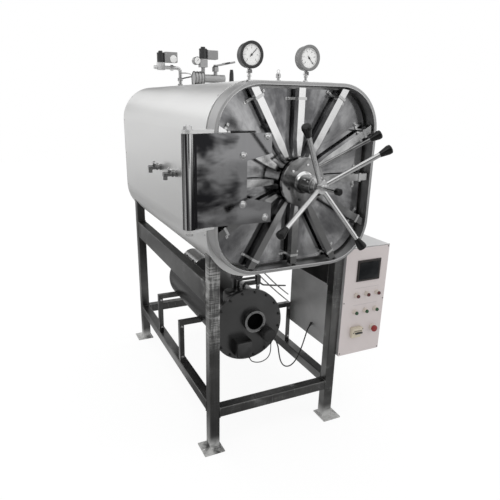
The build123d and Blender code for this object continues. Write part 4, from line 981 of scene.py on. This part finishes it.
def dress_top_valves():
    """Solenoids, switch boxes, small gauge, trap, ball valve, horn and relief valve on top."""
    caps, bands, disc, nuts = Shape(), Shape(), Shape(), Shape()
    for x, y, top in ((-0.232, 0.560, 2.194), (-0.062, 0.200, 2.198)):
        caps.nut(0.0125, 0.004, (x, y, 2.194), UP)
        for z in (top - 0.068, top - 0.014):
            bands.hoop(0.0238, 0.0018, (x, y, z))
        bands.block((0.030, 0.030, 0.050), (x + 0.016, y, top - 0.040), 0.003)
        nuts.block((0.046, 0.046, 0.004), (x, y, top - 0.0725), 0.001)
    caps.done("coil_top_nuts", "root", "bright")
    bands.done("coil_bands", "root", "coil")
    nuts.done("valve_bonnets", "root", "bright")
    disc.turned(((0, 0), (0.024, 0), (0.024, 0.004), (0.021, 0.006), (0, 0.006)), (-0.150, 0.532, 2.146),
                FRONT, 32)
    disc.done("switch_box_window", "root", "dial")
    screws = Shape()
    for x, y, z in ((-0.200, 0.532, 2.178), (-0.128, 0.532, 2.178), (-0.032, 0.175, 2.170),
                    (0.026, 0.175, 2.170)):
        screws.screw(0.0035, (x, y, z), FRONT)
    screws.done("switch_box_screws", "root", "bright")

    dial = Shape()
    where = Vector((-0.1085, 0.174, 2.1155))
    dial.turned(((0, 0.0), (0.0205, 0.0), (0.0205, 0.0008), (0, 0.0008)), where, FRONT, 28)
    dial.done("small_gauge_dial", "root", "dial")
    hand = Shape()
    hand.hoop(0.0220, 0.0016, where, FRONT)
    hand.block((0.020, 0.0014, 0.0006), where + Vector((0.003, -0.0012, 0.003)), 0.0002, FRONT, 0.8)
    for mark in range(7):
        a = radians(DIAL_START - DIAL_SWEEP * mark / 6)
        hand.block((0.004, 0.0010, 0.0004), where + Vector((0.0175 * cos(a), -0.0009, 0.0175 * sin(a))),
                   0.0001, FRONT, a)
    hand.done("small_gauge_rim_and_hand", "root", "case")
    trap = Shape()
    for x in (-0.124, -0.104, -0.084, -0.066):
        trap.hoop(0.0395, 0.0022, (x, 0.200, 2.015), RIGHT)
    trap.done("trap_ribs", "root", "rubber")
    grip = Shape()
    grip.block((0.100, 0.016, 0.009), (0.096, 0.200, 2.110), 0.003, (-0.155, 0, 1))
    grip.post(0.0165, 0.020, (0.022, 0.200, 2.070), edge=0.002)
    grip.done("ball_valve_grip", "root", "case")
    horn = Shape()
    horn.turned(((0, 0.0), (0.0305, 0.0), (0.0155, 0.0315), (0.0131, 0.0834), (0.0094, 0.1044),
                 (0, 0.1044)), (0.135, 0.200, 1.969), UP)
    horn.done("exhaust_horn", "root", "case")
    relief = Shape()
    relief.nut(0.0135, 0.012, (0.015, -0.640, 1.9685), UP)
    relief.hoop(0.0125, 0.0012, (0.015, -0.640, 1.996), UP, 8)
    relief.hoop(0.0075, 0.0010, (0.015, -0.640, 2.0215), FRONT, 8)
    relief.done("relief_valve_trim", "root", "bright")
    vent_route = ((-0.100, 0.560, 2.020), (-0.062, 0.540, 2.032), (-0.020, 0.420, 2.040),
                  (-0.028, 0.300, 2.052), (-0.062, 0.240, 2.060), (-0.062, 0.205, 2.062))
    run_of_tube("vent_control_line", [vent_route], 0.0045, "boiler")
    sense_route = ((-0.040, 0.470, 1.966), (-0.040, 0.470, 2.030), (-0.046, 0.470, 2.052),
                   (-0.070, 0.500, 2.060), (-0.095, 0.553, 2.060))
    run_of_tube("steam_sense_line", [sense_route], 0.0040, "bright")


CAPILLARY_ROUTES = (
    ((-0.080, -0.320, 1.041), (0.020, -0.305, 0.930), (0.135, -0.300, 0.812), (0.280, -0.240, 0.672),
     (0.409, -0.192, 0.561)),
    ((-0.030, -0.320, 1.041), (0.070, -0.305, 0.925), (0.172, -0.300, 0.822), (0.300, -0.240, 0.700),
     (0.409, -0.194, 0.611)),
)
FEED_ROUTE = ((0.026, -0.450, 0.862), (0.090, -0.400, 0.800), (0.174, -0.300, 0.752), (0.300, -0.215, 0.700),
              (0.409, -0.149, 0.660))


def dress_pipework():
    """Thin lines from under the vessel and from the feed block to the box side."""
    run_of_tube("capillary_lines", CAPILLARY_ROUTES, 0.0042, "bright")
    run_of_tube("feed_line", [FEED_ROUTE], 0.0055, "boiler")


dress_door()
dress_hinge()
dress_jacket()
dress_frame()
dress_boiler()
dress_control_box()
dress_gauges()
dress_top_valves()
dress_pipework()


# Light of a dark flag, depth of the floor's shadow, and the floor's light to the eye and to metal
FLAG_LEVEL = 0.10
FLOOR_SHADOW = 0.16
FLOOR_WHITE = 1.06
FLOOR_REFLECTED = 0.22


def room_light(nodes, links, strength_camera, strength_soft):
    """World: white behind the object, a studio with some dark flags in reflections, soft fill elsewhere."""

    def node(kind, settings, inputs, output=0):
        made = nodes.new(kind)
        for key, value in settings.items():
            setattr(made, key, value)
        for key, value in inputs.items():
            if isinstance(value, bpy.types.NodeSocket):
                links.new(value, made.inputs[key])
            else:
                made.inputs[key].default_value = value
        return made.outputs[output]

    rays = nodes.new("ShaderNodeLightPath")
    where = node("ShaderNodeTexCoord", {}, {}, 0)
    stretched = node("ShaderNodeMapping", {}, {"Vector": where, "Scale": (1.0, 1.0, 0.35)})
    flags = node("ShaderNodeTexNoise", {}, {"Vector": stretched, "Scale": 2.6, "Detail": 1.0})
    dark = node("ShaderNodeMapRange", {"interpolation_type": "SMOOTHSTEP"},
                {0: flags, 1: 0.44, 2: 0.54, 3: FLAG_LEVEL, 4: 1.0})
    height = node("ShaderNodeSeparateXYZ", {}, {0: where}, 2)
    above = node("ShaderNodeMapRange", {"interpolation_type": "SMOOTHSTEP"},
                 {0: height, 1: 0.35, 2: 0.70, 3: 0.0, 4: 1.0})
    lit = node("ShaderNodeMath", {"operation": "MAXIMUM"}, {0: dark, 1: above})
    glossy = node("ShaderNodeBackground", {}, {0: (1, 1, 1, 1), 1: lit})
    soft = node("ShaderNodeBackground", {}, {0: (1, 1, 1, 1), 1: strength_soft})
    white = node("ShaderNodeBackground", {}, {0: (1, 1, 1, 1), 1: strength_camera})
    first = node("ShaderNodeMixShader", {}, {0: rays.outputs["Is Glossy Ray"], 1: soft, 2: glossy})
    seen = node("ShaderNodeMath", {"operation": "MAXIMUM"},
                {0: rays.outputs["Is Camera Ray"], 1: rays.outputs["Is Transmission Ray"]})
    return node("ShaderNodeMixShader", {}, {0: seen, 1: first, 2: white})


def light_the_room():
    """The world around the object."""
    world = bpy.data.worlds.new("room")
    scene.world = world
    world.use_nodes = True
    nodes, links = world.node_tree.nodes, world.node_tree.links
    nodes.clear()
    out = nodes.new("ShaderNodeOutputWorld")
    links.new(room_light(nodes, links, 1.0, 0.90), out.inputs[0])


def lamp(name, place, target, size, power):
    """Soft rectangular lamp that faces its target."""
    data = bpy.data.lights.new(name, "AREA")
    data.shape = "RECTANGLE"
    data.size, data.size_y = size
    data.energy = power
    shining = bpy.data.objects.new(name, data)
    scene.collection.objects.link(shining)
    aim = (Vector(target) - Vector(place)).to_track_quat("-Z", "Y")
    shining.matrix_world = Matrix.Translation(place) @ aim.to_matrix().to_4x4()


def lay_floor():
    """Pale floor: white to the eye with a soft shadow, and duller where metal mirrors it."""
    mesh = bpy.data.meshes.new("floor")
    shape = bmesh.new()
    bmesh.ops.create_grid(shape, x_segments=1, y_segments=1, size=14)
    shape.to_mesh(mesh)
    shape.free()
    floor = bpy.data.objects.new("floor", mesh)
    floor.location.z = -0.001
    scene.collection.objects.link(floor)
    ground = Finish("floor_pale", (0.86, 0.86, 0.86), 0.9)
    nodes, links = ground.nodes, ground.links
    rays = nodes.new("ShaderNodeLightPath")
    white = nodes.new("ShaderNodeEmission")
    white.inputs[1].default_value = FLOOR_WHITE
    dull = nodes.new("ShaderNodeEmission")
    where = ground.place()
    reach = (where.part("X") * where.part("X") + where.part("Y") * where.part("Y")).ramp(9.0, 90.0, 0.0, 0.55)
    patches = ground.noise(where, 1.3, 3, 0.55).ramp(0.42, 0.60, FLOOR_REFLECTED, 0.75)
    links.new(patches.maths("MAXIMUM", patches, reach).socket, dull.inputs[1])
    out = next(node for node in nodes if node.type == "OUTPUT_MATERIAL")
    share = ground.add("Math", {0: rays.outputs["Is Camera Ray"], 1: 1.0 - FLOOR_SHADOW},
                       operation="MULTIPLY")
    seen = nodes.new("ShaderNodeMixShader")
    links.new(share.socket, seen.inputs[0])
    links.new(ground.shader.outputs[0], seen.inputs[1])
    links.new(white.outputs[0], seen.inputs[2])
    mirrored = nodes.new("ShaderNodeMixShader")
    links.new(rays.outputs["Is Glossy Ray"], mirrored.inputs[0])
    links.new(seen.outputs[0], mirrored.inputs[1])
    links.new(dull.outputs[0], mirrored.inputs[2])
    links.new(mirrored.outputs[0], out.inputs[0])
    floor.data.materials.append(ground.material)


light_the_room()
lamp("key", (-3.2, -3.0, 4.2), (0, -0.3, 1.3), (2.2, 2.2), 14)
lamp("fill", (3.4, -3.4, 2.8), (0, -0.6, 1.2), (2.5, 2.5), 8)
lamp("rear", (-1.5, 3.5, 3.6), (0, 0, 1.4), (2.0, 2.0), 8)
lay_floor()
